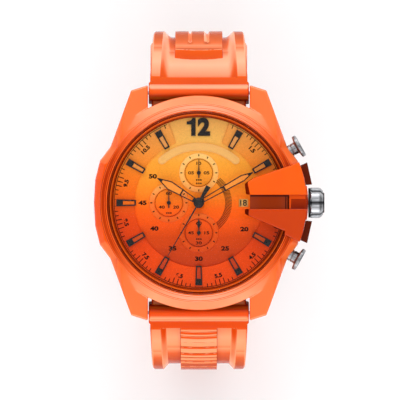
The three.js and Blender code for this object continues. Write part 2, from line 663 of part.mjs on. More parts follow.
// A closed skin through cross sections that have the same number of points.
function loft(sections) {
  const count = sections[0].length;
  const positions = [];
  const triangle = (...corners) => corners.forEach((p) => positions.push(p.x, p.y, p.z));
  for (let i = 0; i + 1 < sections.length; i++)
    for (let k = 0; k < count; k++) {
      const [a, b] = [sections[i][k], sections[i][(k + 1) % count]];
      const [c, d] = [sections[i + 1][(k + 1) % count], sections[i + 1][k]];
      triangle(a, b, c);
      triangle(a, c, d);
    }
  for (const [ringOf, turned] of [[sections[0], true], [sections.at(-1), false]]) {
    const flat = (p) => new THREE.Vector2(p.u, p.v);
    for (const [i, j, k] of THREE.ShapeUtils.triangulateShape(ringOf.map(flat), []))
      turned ? triangle(ringOf[i], ringOf[k], ringOf[j]) : triangle(ringOf[i], ringOf[j], ringOf[k]);
  }
  const geometry = new THREE.BufferGeometry();
  return geometry.setAttribute("position", new THREE.Float32BufferAttribute(positions, 3));
}

function strapBand(spine, side, stations, shape) {
  return solid(
    loft(
      stations.map((s) => {
        const frame = frameAt(spine, s, side);
        const place = (x, n) => new THREE.Vector3(x, 0, n).applyMatrix4(frame);
        return shape(s).map(([x, n]) => Object.assign(place(x, n), { u: x, v: n }));
      })
    )
  );
}

// The bar that turns between the lugs, and the narrower lip that reaches under the case's skirt.
function strapRoot(side) {
  const [out, z] = LUG_PIVOT;
  const half = LUG_GAP / 2 - 0.2;
  const bar = solid(rodX(BAR_RADIUS, -half, half, side * out, z, 24));
  const lip = solid(block([-11.7, 23.35, 0.9], [11.7, 26.6, 3.5]).scale(1, side, 1));
  return join(bar, lip);
}
const springBarBore = (side) => solid(rodX(SPRING_BAR.bore, -20, 20, side * LUG_PIVOT[0], LUG_PIVOT[1]));

const UPPER_STATIONS = [1.2, 3, 4.2, 6.5, 9.4, 11.8, 14.5, 17.5, 20.5, 24, 27, 30, 34, 38, 42, 46, 50];
function upperStrap() {
  const width = [[1.2, 12.1], [4, 11.95], [24, 10.75], [44, 10.2], [50, 10.0]];
  const inner = [[1.2, 1.9], [6, 1.6], [50, 1.5]];
  const floor = [[1.2, 1.9], [6, 1.6], [50, 1.3]];
  const rail = [[1.2, 0.3], [4.2, 1.6], [24, 1.6], [30, 0.4], [42, 0.4], [46, 0.2]];
  const middle = [[9.4, 0.15], [11.8, 1.6], [24, 1.6], [27, 0.15]];
  const band = strapBand(UPPER_SPINE, 1, UPPER_STATIONS, (s) =>
    section(ramp(s, width), ramp(s, inner), ramp(s, floor), ramp(s, rail), ramp(s, middle), UPPER_BLOCK)
  );
  const end = UPPER_SPINE.length;
  const atEnd = frameAt(UPPER_SPINE, end, 1);
  const eye = solid(rodX(1.9, -10, 10, 0, 0, 20).applyMatrix4(atEnd));
  const eyeBore = solid(rodX(SPRING_BAR.bore, -20, 20, 0, 0).applyMatrix4(atEnd));
  const tongueSlot = solid(block([-2.5, -4, -4], [2.5, 4, 4]).applyMatrix4(atEnd));
  return cut(join(band, strapRoot(1), eye), springBarBore(1), eyeBore, tongueSlot);
}
add("strap_upper", upperStrap(), ORANGE_STRAP);

const HOLE_STATIONS = Array.from({ length: 8 }, (_, i) => 65 + 6 * i);
const LOWER_STATIONS = [
  1.2, 3, 4.2, 6.5, 9.5, 12.5, 15.5, 18.7, 24, 30, 36, 44, 52.6, 56, 60, 64, 68, 72, 76, 78.9,
  109, 112, 114.8,
];
function lowerStrap() {
  const width = [[1.2, 12.1], [4, 11.95], [24, 11.0], [60, 10.2], [109, 9.8], [112, 8.6], [115, 6.0]];
  const inner = [[1.2, 1.9], [6, 1.6], [78, 1.4]];
  const floor = [[1.2, 1.9], [6, 1.6], [60, 1.3], [78, 1.2]];
  const rail = [[1.2, 0.3], [4.2, 1.6], [36, 1.6], [52.6, 0.25]];
  const middle = [[3.0, 0.15], [4.2, 1.5], [36, 1.5], [44, 0.15]];
  const band = strapBand(LOWER_SPINE, -1, LOWER_STATIONS, (s) =>
    section(ramp(s, width), ramp(s, inner), ramp(s, floor), ramp(s, rail), ramp(s, middle), LOWER_BLOCK)
  );
  const holes = HOLE_STATIONS.map((s) =>
    solid(block([-1.4, -1.0, -5], [1.4, 1.0, 5]).applyMatrix4(frameAt(LOWER_SPINE, s, -1)))
  );
  return cut(join(band, strapRoot(-1)), springBarBore(-1), ...holes);
}
add("strap_lower", lowerStrap(), ORANGE_STRAP);

function springBar(side) {
  const [out, z] = LUG_PIVOT;
  const [body, tip] = [LUG_GAP / 2 - 0.3, LUG_GAP / 2 + 0.9];
  return join(
    solid(rodX(SPRING_BAR.body, -body, body, side * out, z)),
    solid(rodX(SPRING_BAR.tip, -tip, tip, side * out, z, 12))
  );
}
add("spring_bar_upper", springBar(1), STEEL);
add("spring_bar_lower", springBar(-1), STEEL);

// Keepers are rectangular loops round the strap, with room on its outer side for the tail.
function keeper(s, halfWidth, inside) {
  const [outside, wall, length] = [4.9, 1.1, 5.5];
  const outer = block(
    [-halfWidth - wall, -length / 2, inside - wall],
    [halfWidth + wall, length / 2, outside + wall]
  );
  const inner = block([-halfWidth, -length, inside], [halfWidth, length, outside]);
  const frame = frameAt(UPPER_SPINE, s, 1);
  return cut(solid(outer.applyMatrix4(frame)), solid(inner.applyMatrix4(frame)));
}
add("keeper_fixed", keeper(43.5, 10.4, -1.65), ORANGE_STRAP);
add("keeper_loose", keeper(36.5, 10.9, -2.0), ORANGE_STRAP);

// ---------- buckle ----------
// It hangs straight down from the strap's eye: X across, Y down the buckle, Z out of its outer face.
const BUCKLE_FRAME = (() => {
  const { out, z } = UPPER_SPINE.at(UPPER_SPINE.length);
  const across = new THREE.Vector3(1, 0, 0);
  return new THREE.Matrix4()
    .makeBasis(across, new THREE.Vector3(0, 0, -1), new THREE.Vector3(0, 1, 0))
    .setPosition(0, out, z);
})();
function buckleFrame() {
  const { half, window, length, thickness } = BUCKLE;
  const mirror = (side) => [...side, ...side.map(([x, y]) => [-x, y]).reverse()];
  const outer = mirror([[half, -1.6], [half, length - 2.8], [half - 1.6, length]]);
  const opening = mirror([[window, -3], [window, length - 3.6], [window - 0.8, length - 2.4]]);
  const body = cut(solid(plate(outer, -thickness / 2, thickness / 2)), solid(plate(opening, -3, 3)));
  return cut(body, solid(rodX(0.55, -half + 0.15, half - 0.15, 0, 0, 12)));
}
const onBuckle = (shape) => surfaceOf(shape).applyMatrix4(BUCKLE_FRAME);
add("buckle_frame", onBuckle(buckleFrame()), STEEL);

function buckleBar() {
  const body = BUCKLE.window - 0.1;
  const tip = BUCKLE.half - 0.2;
  return join(solid(rodX(SPRING_BAR.body, -body, body, 0, 0)), solid(rodX(0.45, -tip, tip, 0, 0, 12)));
}
add("buckle_bar", onBuckle(buckleBar()), STEEL);

function buckleTongue() {
  const half = TONGUE_WIDTH / 2;
  const knuckle = solid(rodX(1.75, -TONGUE_WIDTH, TONGUE_WIDTH, 0, 0, 20));
  const prong = solid(block([-half, 0, 1.3], [half, BUCKLE.length - 0.2, 2.4]));
  const neck = solid(block([-half, 0, 0.5], [half, 2.2, 2.4]));
  return cut(join(knuckle, prong, neck), solid(rodX(SPRING_BAR.bore, -5, 5, 0, 0)));
}
add("buckle_tongue", onBuckle(buckleTongue()), STEEL);

export default watch;
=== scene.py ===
import json
import math

import bpy
import mathutils
import numpy as np
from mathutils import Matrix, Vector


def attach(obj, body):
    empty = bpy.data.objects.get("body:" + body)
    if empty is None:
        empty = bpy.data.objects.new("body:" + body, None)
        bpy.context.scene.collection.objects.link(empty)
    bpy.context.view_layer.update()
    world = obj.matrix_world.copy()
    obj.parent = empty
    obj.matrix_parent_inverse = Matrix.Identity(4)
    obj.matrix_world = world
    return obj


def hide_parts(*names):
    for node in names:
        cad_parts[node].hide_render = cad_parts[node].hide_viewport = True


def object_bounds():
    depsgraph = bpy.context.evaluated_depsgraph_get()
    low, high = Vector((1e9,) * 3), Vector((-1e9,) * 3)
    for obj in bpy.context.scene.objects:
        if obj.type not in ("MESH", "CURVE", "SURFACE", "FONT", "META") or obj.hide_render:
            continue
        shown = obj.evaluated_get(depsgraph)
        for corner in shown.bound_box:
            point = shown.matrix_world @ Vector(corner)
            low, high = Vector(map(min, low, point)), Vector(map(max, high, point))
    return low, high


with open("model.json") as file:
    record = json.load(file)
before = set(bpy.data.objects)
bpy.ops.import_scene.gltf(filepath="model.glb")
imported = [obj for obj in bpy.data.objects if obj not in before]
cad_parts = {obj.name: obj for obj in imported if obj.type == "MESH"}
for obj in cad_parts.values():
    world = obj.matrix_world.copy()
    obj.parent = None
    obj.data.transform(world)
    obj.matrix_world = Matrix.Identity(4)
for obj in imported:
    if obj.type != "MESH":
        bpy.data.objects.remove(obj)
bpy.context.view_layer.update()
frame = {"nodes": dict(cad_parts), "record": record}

MM = 0.001  # every size below is in millimetres

# ---------- sizes shared with the CAD ----------
LUG_GAP = 25.0
CASE_OUTLINE = [(12.5, 28.9), (16.6, 27.6), (21.66, 13.8), (24.28, 10.3), (25.45, 5.6)]
CASE_HALF_WIDTH = 25.75
STEM_Z = 5.6
CASE_TOP = 10.15
CASE_UNDERSIDE = 1.5
DIAL_OPENING = 21.45
PLATE_UNDERSIDE = 7.47
PLATE_TOP = 7.85
RING_TOP = 8.35
INK_DEPTH = 0.025
SUBDIAL_RADIUS = 3.56
PUSHER_ANGLE = 29.5
LUG_PIVOT = (27.0, 2.4)
ROOT_RADIUS = 2.3
SCREW_CIRCLE = 24
SCREW_ANGLES = (45, 135, 225, 315)
SUBDIALS = {"upper": (0.0, 7.35), "left": (-7.35, 0.0), "lower": (0.0, -7.35)}
HAND_ANGLES = {"hour": 300.8, "minute": 60.6, "chrono": 210.3}
FLOOR_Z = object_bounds()[0][2] / MM


# ---------- small geometry ----------
def polar(radius, degrees):
    a = math.radians(degrees)
    return (radius * math.cos(a), radius * math.sin(a))


def clock(degrees):
    """Degrees clockwise from 12 o'clock as degrees anticlockwise from +X."""
    return 90.0 - degrees


def soften(points, size, steps=3, closed=True):
    """A polyline with each corner rounded over a length of `size` (one number, or one per corner)."""
    pts = [np.array(p, float) for p in points]
    sizes = size if isinstance(size, (list, tuple)) else [size] * len(pts)
    out = []
    for i, p in enumerate(pts):
        if not closed and i in (0, len(pts) - 1) or sizes[i] <= 0:
            out.append(tuple(p))
            continue
        a, b = pts[i - 1] - p, pts[(i + 1) % len(pts)] - p
        la, lb = np.linalg.norm(a), np.linalg.norm(b)
        cut = min(sizes[i], la * 0.48, lb * 0.48)
        start, end = p + a / la * cut, p + b / lb * cut
        for t in np.linspace(0, 1, steps + 1):
            out.append(tuple((1 - t) ** 2 * start + 2 * t * (1 - t) * p + t * t * end))
    return out


def arc_band(inner, outer, start, end, steps):
    """The outline of part of a ring between two clock angles."""
    angles = np.linspace(start, end, steps + 1)
    return [polar(outer, clock(a)) for a in angles] + [polar(inner, clock(a)) for a in angles[::-1]]


def circle(radius, steps=48, centre=(0, 0)):
    return [(centre[0] + radius * math.cos(a), centre[1] + radius * math.sin(a))
            for a in np.linspace(0, 2 * math.pi, steps, endpoint=False)]


class Sheaf:
    """Vertices and faces of several shells that become one object."""

    def __init__(self):
        self.verts, self.faces, self.slots = [], [], []

    def add(self, verts, faces, slot=0):
        base = len(self.verts)
        self.verts.extend(tuple(v) for v in verts)
        self.faces.extend(tuple(i + base for i in f) for f in faces)
        self.slots.extend([slot] * len(faces))
        return self

    def mapped(self, change):
        """A copy with its points put through a function of an array of points."""
        made = Sheaf()
        made.verts = [tuple(p) for p in change(np.array(self.verts))]
        made.faces, made.slots = list(self.faces), list(self.slots)
        return made

    def moved(self, matrix):
        """A copy put through a 3x4 placement (rows of x, y, z)."""
        matrix = np.array(matrix)
        return self.mapped(lambda v: v @ matrix[:, :3].T + matrix[:, 3])

    def merge(self, other, slot=None):
        base = len(self.verts)
        self.verts.extend(other.verts)
        self.faces.extend(tuple(i + base for i in f) for f in other.faces)
        self.slots.extend(other.slots if slot is None else [slot] * len(other.faces))
        return self


def placement(x=0.0, y=0.0, z=0.0, turn=0.0, scale=(1.0, 1.0, 1.0)):
    """Scale, then turn about +Z by degrees anticlockwise, then move."""
    c, s = math.cos(math.radians(turn)), math.sin(math.radians(turn))
    return [[c * scale[0], -s * scale[1], 0, x], [s * scale[0], c * scale[1], 0, y], [0, 0, scale[2], z]]


def along_x(sheaf, degrees=0.0):
    """Lays a piece made along +Z at the origin along +X at the stem's height, swung round the dial's axis."""
    c, s = math.cos(math.radians(degrees)), math.sin(math.radians(degrees))

    def lay(v):
        v = np.stack([v[:, 2], v[:, 1], STEM_Z - v[:, 0]], 1)
        v[:, :2] = v[:, :2] @ np.array([[c, s], [-s, c]])
        return v

    return sheaf.mapped(lay)


def lathe(profile, segments=160):
    """A surface of revolution about Z from [radius, z] points. A profile off the axis closes on itself."""
    on_axis = profile[0][0] < 1e-9
    verts, rows = [], []
    for r, z in profile:
        if r < 1e-9:
            rows.append([len(verts)] * segments)
            verts.append((0.0, 0.0, z))
            continue
        rows.append(list(range(len(verts), len(verts) + segments)))
        verts += [(*polar(r, 360.0 * i / segments), z) for i in range(segments)]
    faces = []
    for low, high in list(zip(rows, rows[1:])) + ([] if on_axis else [(rows[-1], rows[0])]):
        for i in range(segments):
            j = (i + 1) % segments
            face = [low[i], low[j], high[j], high[i]]
            faces.append([v for k, v in enumerate(face) if v not in face[:k]])
    return Sheaf().add(verts, [f for f in faces if len(f) > 2])


def grid_surface(rows, capped=True):
    """A skin over equal closed rows of points, with flat ends where it is capped."""
    count = len(rows[0])
    faces = []
    for i in range(len(rows) - 1):
        for k in range(count):
            a, b = i * count + k, i * count + (k + 1) % count
            faces.append((a, b, b + count, a + count))
    if capped:
        faces.append(tuple(range(count))[::-1])
        faces.append(tuple(range((len(rows) - 1) * count, len(rows) * count)))
    return Sheaf().add([p for row in rows for p in row], faces)


def placed(name, data):
    """An object of some data, linked into the scene."""
    made = bpy.data.objects.new(name, data)
    bpy.context.scene.collection.objects.link(made)
    return made


def finished_mesh(holder):
    """The mesh of an object with its modifiers applied."""
    bpy.context.view_layer.update()
    return bpy.data.meshes.new_from_object(holder.evaluated_get(bpy.context.evaluated_depsgraph_get()))


def taken_mesh(data):
    """The mesh of a curve or text datablock as vertices in metres and faces, with its doubled points merged."""
    holder = placed("outline", data)
    mesh = finished_mesh(holder)
    verts = np.empty(len(mesh.vertices) * 3)
    mesh.vertices.foreach_get("co", verts)
    verts = verts.reshape(-1, 3)
    keys = np.round(verts / 2e-7).astype(np.int64)
    _, first, inverse = np.unique(keys, axis=0, return_index=True, return_inverse=True)
    inverse = inverse.reshape(-1)
    faces = []
    for polygon in mesh.polygons:
        face = [int(inverse[i]) for i in polygon.vertices]
        face = [v for k, v in enumerate(face) if v != face[k - 1]]
        if len(set(face)) > 2:
            faces.append(face)
    verts = verts[first]
    bpy.data.objects.remove(holder)
    bpy.data.meshes.remove(mesh)
    return verts, faces


CURVE_SCALE = 10  # outlines are drawn ten times too large, so that their small bevels keep their precision


def plate(loops, z0, z1, bevel=0.05, steps=1):
    """A flat plate with softened edges: the first loop is its outline and the others are holes."""
    unit = MM * CURVE_SCALE
    curve = bpy.data.curves.new("outline", "CURVE")
    curve.dimensions, curve.fill_mode = "2D", "BOTH"
    bevel = min(bevel, (z1 - z0) / 2.01)
    curve.extrude = ((z1 - z0) / 2 - bevel) * unit
    curve.bevel_depth = bevel * unit
    curve.bevel_resolution = steps
    curve.offset = -bevel * unit
    for loop in loops:
        spline = curve.splines.new("POLY")
        spline.points.add(len(loop) - 1)
        for point, (x, y) in zip(spline.points, loop):
            point.co = (x * unit, y * unit, 0, 1)
        spline.use_cyclic_u = True
    verts, faces = taken_mesh(curve)
    bpy.data.curves.remove(curve)
    return Sheaf().add(verts / unit + np.array([0, 0, (z0 + z1) / 2]), faces)


GLYPHS = {}


def lettering(text, height, x, y, z, turn=0.0, stretch=1.0, depth=INK_DEPTH, weight=0.0):
    """Raised figures centred on a point: `height` tall, and stretched sideways."""
    key = (text, weight)
    if key not in GLYPHS:
        data = bpy.data.curves.new("figures", "FONT")
        data.body = text
        data.extrude = 0.05
        data.offset = weight
        verts, faces = taken_mesh(data)
        bpy.data.curves.remove(data)
        low, high = verts.min(0), verts.max(0)
        verts = (verts - (low + high) / 2) / np.array([high[1] - low[1], high[1] - low[1], 0.1])
        GLYPHS[key] = Sheaf().add(verts, faces)
    scale = (height * stretch, height, depth)
    return GLYPHS[key].moved(placement(x, y, z + depth / 2, turn, scale))


# ---------- moulded shapes from distance fields ----------
def smooth_max(a, b, k):
    h = np.maximum(k - np.abs(a - b), 0) / k
    return np.maximum(a, b) + h * h * k / 4


def smooth_min(a, b, k):
    return -smooth_max(-a, -b, k)


def polygon_distance(x, y, points):
    """Signed distance to a closed polygon, negative inside."""
    x, y = np.broadcast_arrays(x, y)
    best = np.full(x.shape, 1e18)
    inside = np.zeros(x.shape, bool)
    for (ax, ay), (bx, by) in zip(points, points[1:] + points[:1]):
        ex, ey = bx - ax, by - ay
        wx, wy = x - ax, y - ay
        t = np.clip((wx * ex + wy * ey) / (ex * ex + ey * ey), 0, 1)
        best = np.minimum(best, (wx - ex * t) ** 2 + (wy - ey * t) ** 2)
        crossing = (ay > y) != (by > y)
        with np.errstate(divide="ignore", invalid="ignore"):
            inside ^= crossing & (x < ax + (y - ay) * ex / (ey if ey else 1e-12))
    return np.sqrt(best) * np.where(inside, -1, 1)


def field_mesh(field, low, high, step):
    """The zero surface of a field as a quad skin, with its points settled onto the surface."""
    axes = [np.arange(a, b + step, step) for a, b in zip(low, high)]
    values = field(axes[0][:, None, None], axes[1][None, :, None], axes[2][None, None, :])
    values = np.ascontiguousarray(np.broadcast_to(values, [len(a) for a in axes]))
    solid = values < 0
    corners = [(i, j, k) for i in (0, 1) for j in (0, 1) for k in (0, 1)]
    nx, ny, nz = (n - 1 for n in values.shape)
    count = sum(solid[i:i + nx, j:j + ny, k:k + nz].astype(np.int8) for i, j, k in corners)
    cells = np.nonzero((count > 0) & (count < 8))
    index = np.full((nx, ny, nz), -1, np.int64)
    index[cells] = np.arange(len(cells[0]))
    total, hits = np.zeros((len(cells[0]), 3)), np.zeros(len(cells[0]))
    for a in corners:
        for axis in range(3):
            if a[axis]:
                continue
            b = list(a)
            b[axis] = 1
            va = values[cells[0] + a[0], cells[1] + a[1], cells[2] + a[2]]
            vb = values[cells[0] + b[0], cells[1] + b[1], cells[2] + b[2]]
            cross = (va < 0) != (vb < 0)
            t = np.where(cross, va / np.where(cross, va - vb, 1), 0)
            point = np.repeat(np.array(a, float)[None], len(t), 0)
            point[:, axis] += t
            total += point * cross[:, None]
            hits += cross
    points = (np.stack(cells, 1) + total / hits[:, None]) * step + np.array([a[0] for a in axes])
    eps = step * 0.05
    for _ in range(3):
        p = points.T
        here = field(*p)
        slope = np.stack([field(*(p + eps * np.eye(3)[:, [i]])) - here for i in range(3)], 1) / eps
        size = np.maximum((slope ** 2).sum(1), 0.2)
        move = np.clip(here / size, -step * 0.6, step * 0.6)
        points = points - move[:, None] * slope
    faces = []
    for axis in range(3):
        u, v = (axis + 1) % 3, (axis + 2) % 3
        low_side = [slice(1, n - 1) for n in values.shape]
        low_side[axis] = slice(0, values.shape[axis] - 1)
        high_side = list(low_side)
        high_side[axis] = slice(1, values.shape[axis])
        first, second = solid[tuple(low_side)], solid[tuple(high_side)]
        for change, flip in ((first & ~second, False), (~first & second, True)):
            at = np.stack(np.nonzero(change), 1)
            at[:, u] += 1
            at[:, v] += 1
            ring = []
            for du, dv in ((-1, -1), (0, -1), (0, 0), (-1, 0)):
                cell = at.copy()
                cell[:, u] += du
                cell[:, v] += dv
                ring.append(index[cell[:, 0], cell[:, 1], cell[:, 2]])
            quads = np.stack(ring[::-1] if flip else ring, 1)
            faces.extend(quads[(quads >= 0).all(1)].tolist())
    return Sheaf().add(points, faces)


# ---------- materials ----------
def feed(tree, socket, value):
    """Links an output to a socket, or sets the socket to a plain value."""
    if hasattr(value, "is_output"):
        tree.links.new(value, socket)
    else:
        socket.default_value = value


class Nodes:
    """A Principled material and shorthands for its nodes."""

    def __init__(self, name):
        self.material = bpy.data.materials.new(name)
        self.material.use_nodes = True
        self.tree = self.material.node_tree
        self.shader = self.tree.nodes["Principled BSDF"]
        self.place = self.tree.nodes.new("ShaderNodeTexCoord").outputs["Object"]

    def put(self, **sockets):
        for name, value in sockets.items():
            self.shader.inputs[name.replace("_", " ")].default_value = value

    def node(self, kind, inputs=(), **settings):
        made = self.tree.nodes.new(kind)
        for name, value in settings.items():
            setattr(made, name, value)
        for key, value in dict(inputs).items():
            feed(self.tree, made.inputs[key], value)
        return made

    def math(self, operation, a, b=0.0, c=0.0, clamp=False):
        node = self.node("ShaderNodeMath", {0: a, 1: b, 2: c}, operation=operation, use_clamp=clamp)
        return node.outputs[0]

    def split(self, vector):
        return self.node("ShaderNodeSeparateXYZ", {0: vector}).outputs

    def noise(self, scale, detail=3.0, stretch=None, roughness=0.5):
        vector = self.place
        if stretch:
            vector = self.node("ShaderNodeMapping", {"Vector": self.place, "Scale": stretch}).outputs[0]
        return self.node(
            "ShaderNodeTexNoise", {"Vector": vector, "Scale": scale, "Detail": detail, "Roughness": roughness}
        ).outputs[0]

    def spread(self, value, low, high, to_low=0.0, to_high=1.0, smooth=False):
        node = self.node(
            "ShaderNodeMapRange",
            {"Value": value, "From Min": low, "From Max": high, "To Min": to_low, "To Max": to_high},
            interpolation_type="SMOOTHSTEP" if smooth else "LINEAR",
        )
        return node.outputs[0]

    def ramp(self, value, stops):
        node = self.node("ShaderNodeValToRGB", {"Fac": value})
        elements = node.color_ramp.elements
        while len(elements) < len(stops):
            elements.new(0.5)
        for element, (at, colour) in zip(elements, stops):
            element.position = at
            element.color = colour
        return node.outputs[0]

    def mix(self, factor, a, b, blend="MIX"):
        return self.node("ShaderNodeMix", {0: factor, 6: a, 7: b}, data_type="RGBA", blend_type=blend).outputs[2]

    def into(self, name, output):
        self.tree.links.new(output, self.shader.inputs[name])

    def colour(self, output):
        self.into("Base Color", output)

    def rough(self, output):
        self.into("Roughness", output)

    def bump(self, height, strength, distance):
        node = self.node("ShaderNodeBump", {"Height": height, "Strength": strength, "Distance": distance * MM})
        self.into("Normal", node.outputs[0])


def rgb(*display):
    """A linear colour from three 0-255 display values."""
    return tuple(c / 255 / 12.92 if c <= 10 else ((c / 255 + 0.055) / 1.055) ** 2.4 for c in display) + (1.0,)


def moulded_plastic(name, light, deep, faces=(0.1, 0.97), painted_reflection=(), shade=None, groove=None, nose=None, root=None,
                    gloss=0.12, subsurface=0.2, transmission=0.0, specular=0.12):
    """Tinted moulding: paler where it faces out of the dial and deeper on its walls, partly painted light, with flow
    clouds and fine scuffs.

    painted_reflection: (how far a face leans to 12 or 6 o'clock, r, g, b, amount), a painted reflection of the bright
    light at 12 and 6 o'clock in such faces.
    shade: tinted below a height on the dial, painted shade where the guard leans away from the light. groove: painted
    shade close to a line across it.
    nose: painted shade where it faces 9 o'clock. root: painted shade close to the case.
    """
    n = Nodes(name)
    across, lean, up = n.split(n.node("ShaderNodeTexCoord").outputs["Normal"])
    _, along, height = n.split(n.place)
    facing = n.spread(n.math("ABSOLUTE", up), *faces, smooth=True)
    cloud = n.spread(n.noise(140.0, 4.0, (1.0, 0.6, 1.0)), 0.3, 0.7, -0.1, 0.1)
    colour = n.mix(n.math("ADD", facing, cloud, clamp=True), rgb(*deep), rgb(*light))
    # Painted reflection: faces that lean to 12 or 6 o'clock take the pale pink of the bright light there.
    if painted_reflection:
        lean = n.math("ABSOLUTE", lean)
        tones = n.ramp(lean, [(at, rgb(r, g, b)) for at, r, g, b, _ in painted_reflection])
        amount = n.ramp(lean, [(at, (a, a, a, 1)) for at, *_, a in painted_reflection])
        colour = n.mix(n.node("ShaderNodeRGBToBW", {0: amount}).outputs[0], colour, tones)
    # Tints that darken the colour where their mask is low: painted shade on the guard and near the case, and a deeper
    # tone on the lower strap.
    clear = []
    if shade:
        low, high, tint = shade
        clear.append((n.spread(along, low * MM, high * MM, smooth=True), tint))
    if groove:
        middle, low, high, tint = groove
        aside = n.math("ABSOLUTE", n.math("SUBTRACT", along, middle * MM))
        clear.append((n.spread(aside, low * MM, high * MM), tint))
    if nose:
        low, high, tint = nose
        clear.append((n.spread(n.math("MULTIPLY", across, -1.0), low, high, 1.0, 0.0), tint))
    if root:
        near, far, tint = root
        out = n.spread(n.math("ABSOLUTE", along), near * MM, far * MM, smooth=True)
        below = n.spread(height, -7.0 * MM, -4.0 * MM, 1.0, 0.0)
        clear.append((n.math("MAXIMUM", out, below), tint))
    for mask, tint in clear:
        colour = n.mix(mask, n.mix(1.0, colour, (*tint, 1), "MULTIPLY"), colour)
    n.colour(colour)
    n.rough(n.spread(n.noise(900.0, 5.0), 0.3, 0.7, gloss * 0.7, gloss * 1.4))
    n.bump(n.noise(420.0, 3.0), 0.05, 0.05)
    n.put(Specular_IOR_Level=specular, Transmission_Weight=transmission, Subsurface_Weight=subsurface,
          Subsurface_Scale=0.002, Subsurface_Radius=(1.0, 0.35, 0.1))
    return n.material


def steel(name, roughness, colour, scratch=(1.0, 1.0, 40.0), scale=260.0, strength=0.06):
    """Satin metal with a fine drawn grain."""
    n = Nodes(name)
    grain = n.noise(scale, 6.0, scratch, 0.7)
    n.colour(n.mix(grain, rgb(*[c * 0.86 for c in colour]), rgb(*[min(c * 1.1, 255) for c in colour])))
    n.rough(n.spread(grain, 0.25, 0.75, roughness * 0.7, roughness * 1.4))
    n.bump(grain, strength, 0.02)
    n.put(Metallic=1.0)
    return n.material


def dial_material(name, stops, roughness=0.4):
    """Dial paint: a colour ramp of (height, r, g, b) up the dial, with a fine grain; the paler tops of its ramps are
    partly painted light.
    """
    n = Nodes(name)
    height = n.spread(n.split(n.place)[1], -21.5 * MM, 21.5 * MM)
    base = n.ramp(height, [(at, rgb(*colour)) for at, *colour in stops])
    grain = n.spread(n.noise(2600.0, 3.0), 0.3, 0.7, 0.93, 1.05)
    grey = n.node("ShaderNodeCombineColor", {0: grain, 1: grain, 2: grain}).outputs[0]
    n.colour(n.mix(1.0, base, grey, "MULTIPLY"))
    n.rough(n.spread(n.noise(1500.0), 0.3, 0.7, roughness * 0.8, roughness * 1.2))
    n.bump(n.noise(3000.0), 0.03, 0.01)
    n.put(Specular_IOR_Level=0.15)
    return n.material


def lacquer(name, colour, roughness=0.3, coat=0.2, specular=0.5, mottle=0.1):
    """Paint, rubber or resin with a fine mottle."""
    n = Nodes(name)
    low, high = [rgb(*[min(c * k, 255) for c in colour]) for k in (1 - mottle, 1 + mottle)]
    n.colour(n.mix(n.noise(1800.0, 4.0), low, high))
    n.rough(n.spread(n.noise(2500.0), 0.3, 0.7, roughness * 0.8, roughness * 1.3))
    n.bump(n.noise(3200.0), 0.04, 0.01)
    n.put(Coat_Weight=coat, Coat_Roughness=0.15, Specular_IOR_Level=specular)
    return n.material


# Case colour: the lean ramp paints a pale pink reflection of the bright light at 12 and 6 o'clock onto shoulders that
# lean that way.
SHELL = moulded_plastic("shell_orange", (255, 94, 10), (246, 66, 0), painted_reflection=[
    (0.15, 255, 92, 10, 0.0), (0.3, 255, 112, 50, 1.0), (0.5, 255, 114, 52, 1.0), (0.68, 255, 156, 112, 1.0),
    (0.86, 250, 110, 50, 1.0), (1.0, 236, 84, 22, 1.0)])
# Bezel colour, painted light: its slopes are painted deep, and its faces towards 12 and 6 o'clock are painted pale pink
# as a reflection of the light there.
BEZEL = moulded_plastic("bezel_orange", (252, 96, 16), (170, 40, 0), faces=(0.72, 0.995), specular=0.24, painted_reflection=[
    (0.26, 252, 96, 16, 0.0), (0.5, 254, 124, 64, 0.9), (0.68, 255, 166, 130, 1.0), (1.0, 255, 144, 98, 1.0)])
# Guard colour with painted shade: deeper on its lower half, brown along its slot and the bridge's recess, and dark
# brown on faces turned to 9 o'clock.
GUARD = moulded_plastic("guard_orange", (246, 92, 6), (190, 48, 0), shade=(-1.6, 1.9, (0.62, 0.44, 0.1)),
                        groove=(0.225, 1.66, 1.74, (0.4, 0.26, 0.1)), nose=(0.3, 0.45, (0.22, 0.12, 0.03)))
GUARD_RIM = moulded_plastic("guard_rim", (226, 74, 8), (180, 46, 0))
# A sheet of painted shade: brown for the shadowed dial seen down the guard's slot.
GUARD_SLOT_SHADE = moulded_plastic("guard_slot_shade", (166, 56, 4), (104, 26, 0), subsurface=0.0)
GUARD_DARK = moulded_plastic("guard_brown", (96, 28, 4), (52, 12, 0), subsurface=0.0)
# The rehaut's inner and outer rings are painted deep brown as the shade of the dial well's wall; its middle ring keeps
# the moulding's orange.
REHAUT = moulded_plastic("rehaut_painted_shade", (160, 52, 4), (96, 22, 0), subsurface=0.0)
REHAUT_LIGHT = moulded_plastic("rehaut_edge", (236, 96, 14), (190, 60, 0), subsurface=0.0)
# Strap colour with painted light: a pale pink painted reflection on faces leaning to 12 and 6 o'clock, painted shade
# close to the case, and a deeper tone over the lower strap.
STRAP = moulded_plastic("strap_orange", (250, 100, 30), (226, 70, 8), gloss=0.16, transmission=0.1,
                        specular=0.06, shade=(10.0, 12.0, (0.98, 0.8, 0.62)),
                        root=(25.8, 27.2, (0.36, 0.22, 0.04)), painted_reflection=[
    (0.3, 250, 100, 30, 0.0), (0.44, 255, 160, 116, 0.9), (0.6, 255, 180, 142, 1.0), (0.72, 255, 172, 132, 1.0),
    (0.8, 228, 108, 54, 1.0), (0.88, 200, 84, 32, 1.0), (1.0, 176, 64, 16, 1.0)])
STEEL = steel("steel_satin", 0.28, (150, 150, 152))
STEEL_BRIGHT = steel("steel_bright", 0.3, (168, 169, 172), (1.0, 1.0, 1.0), 500.0, 0.02)
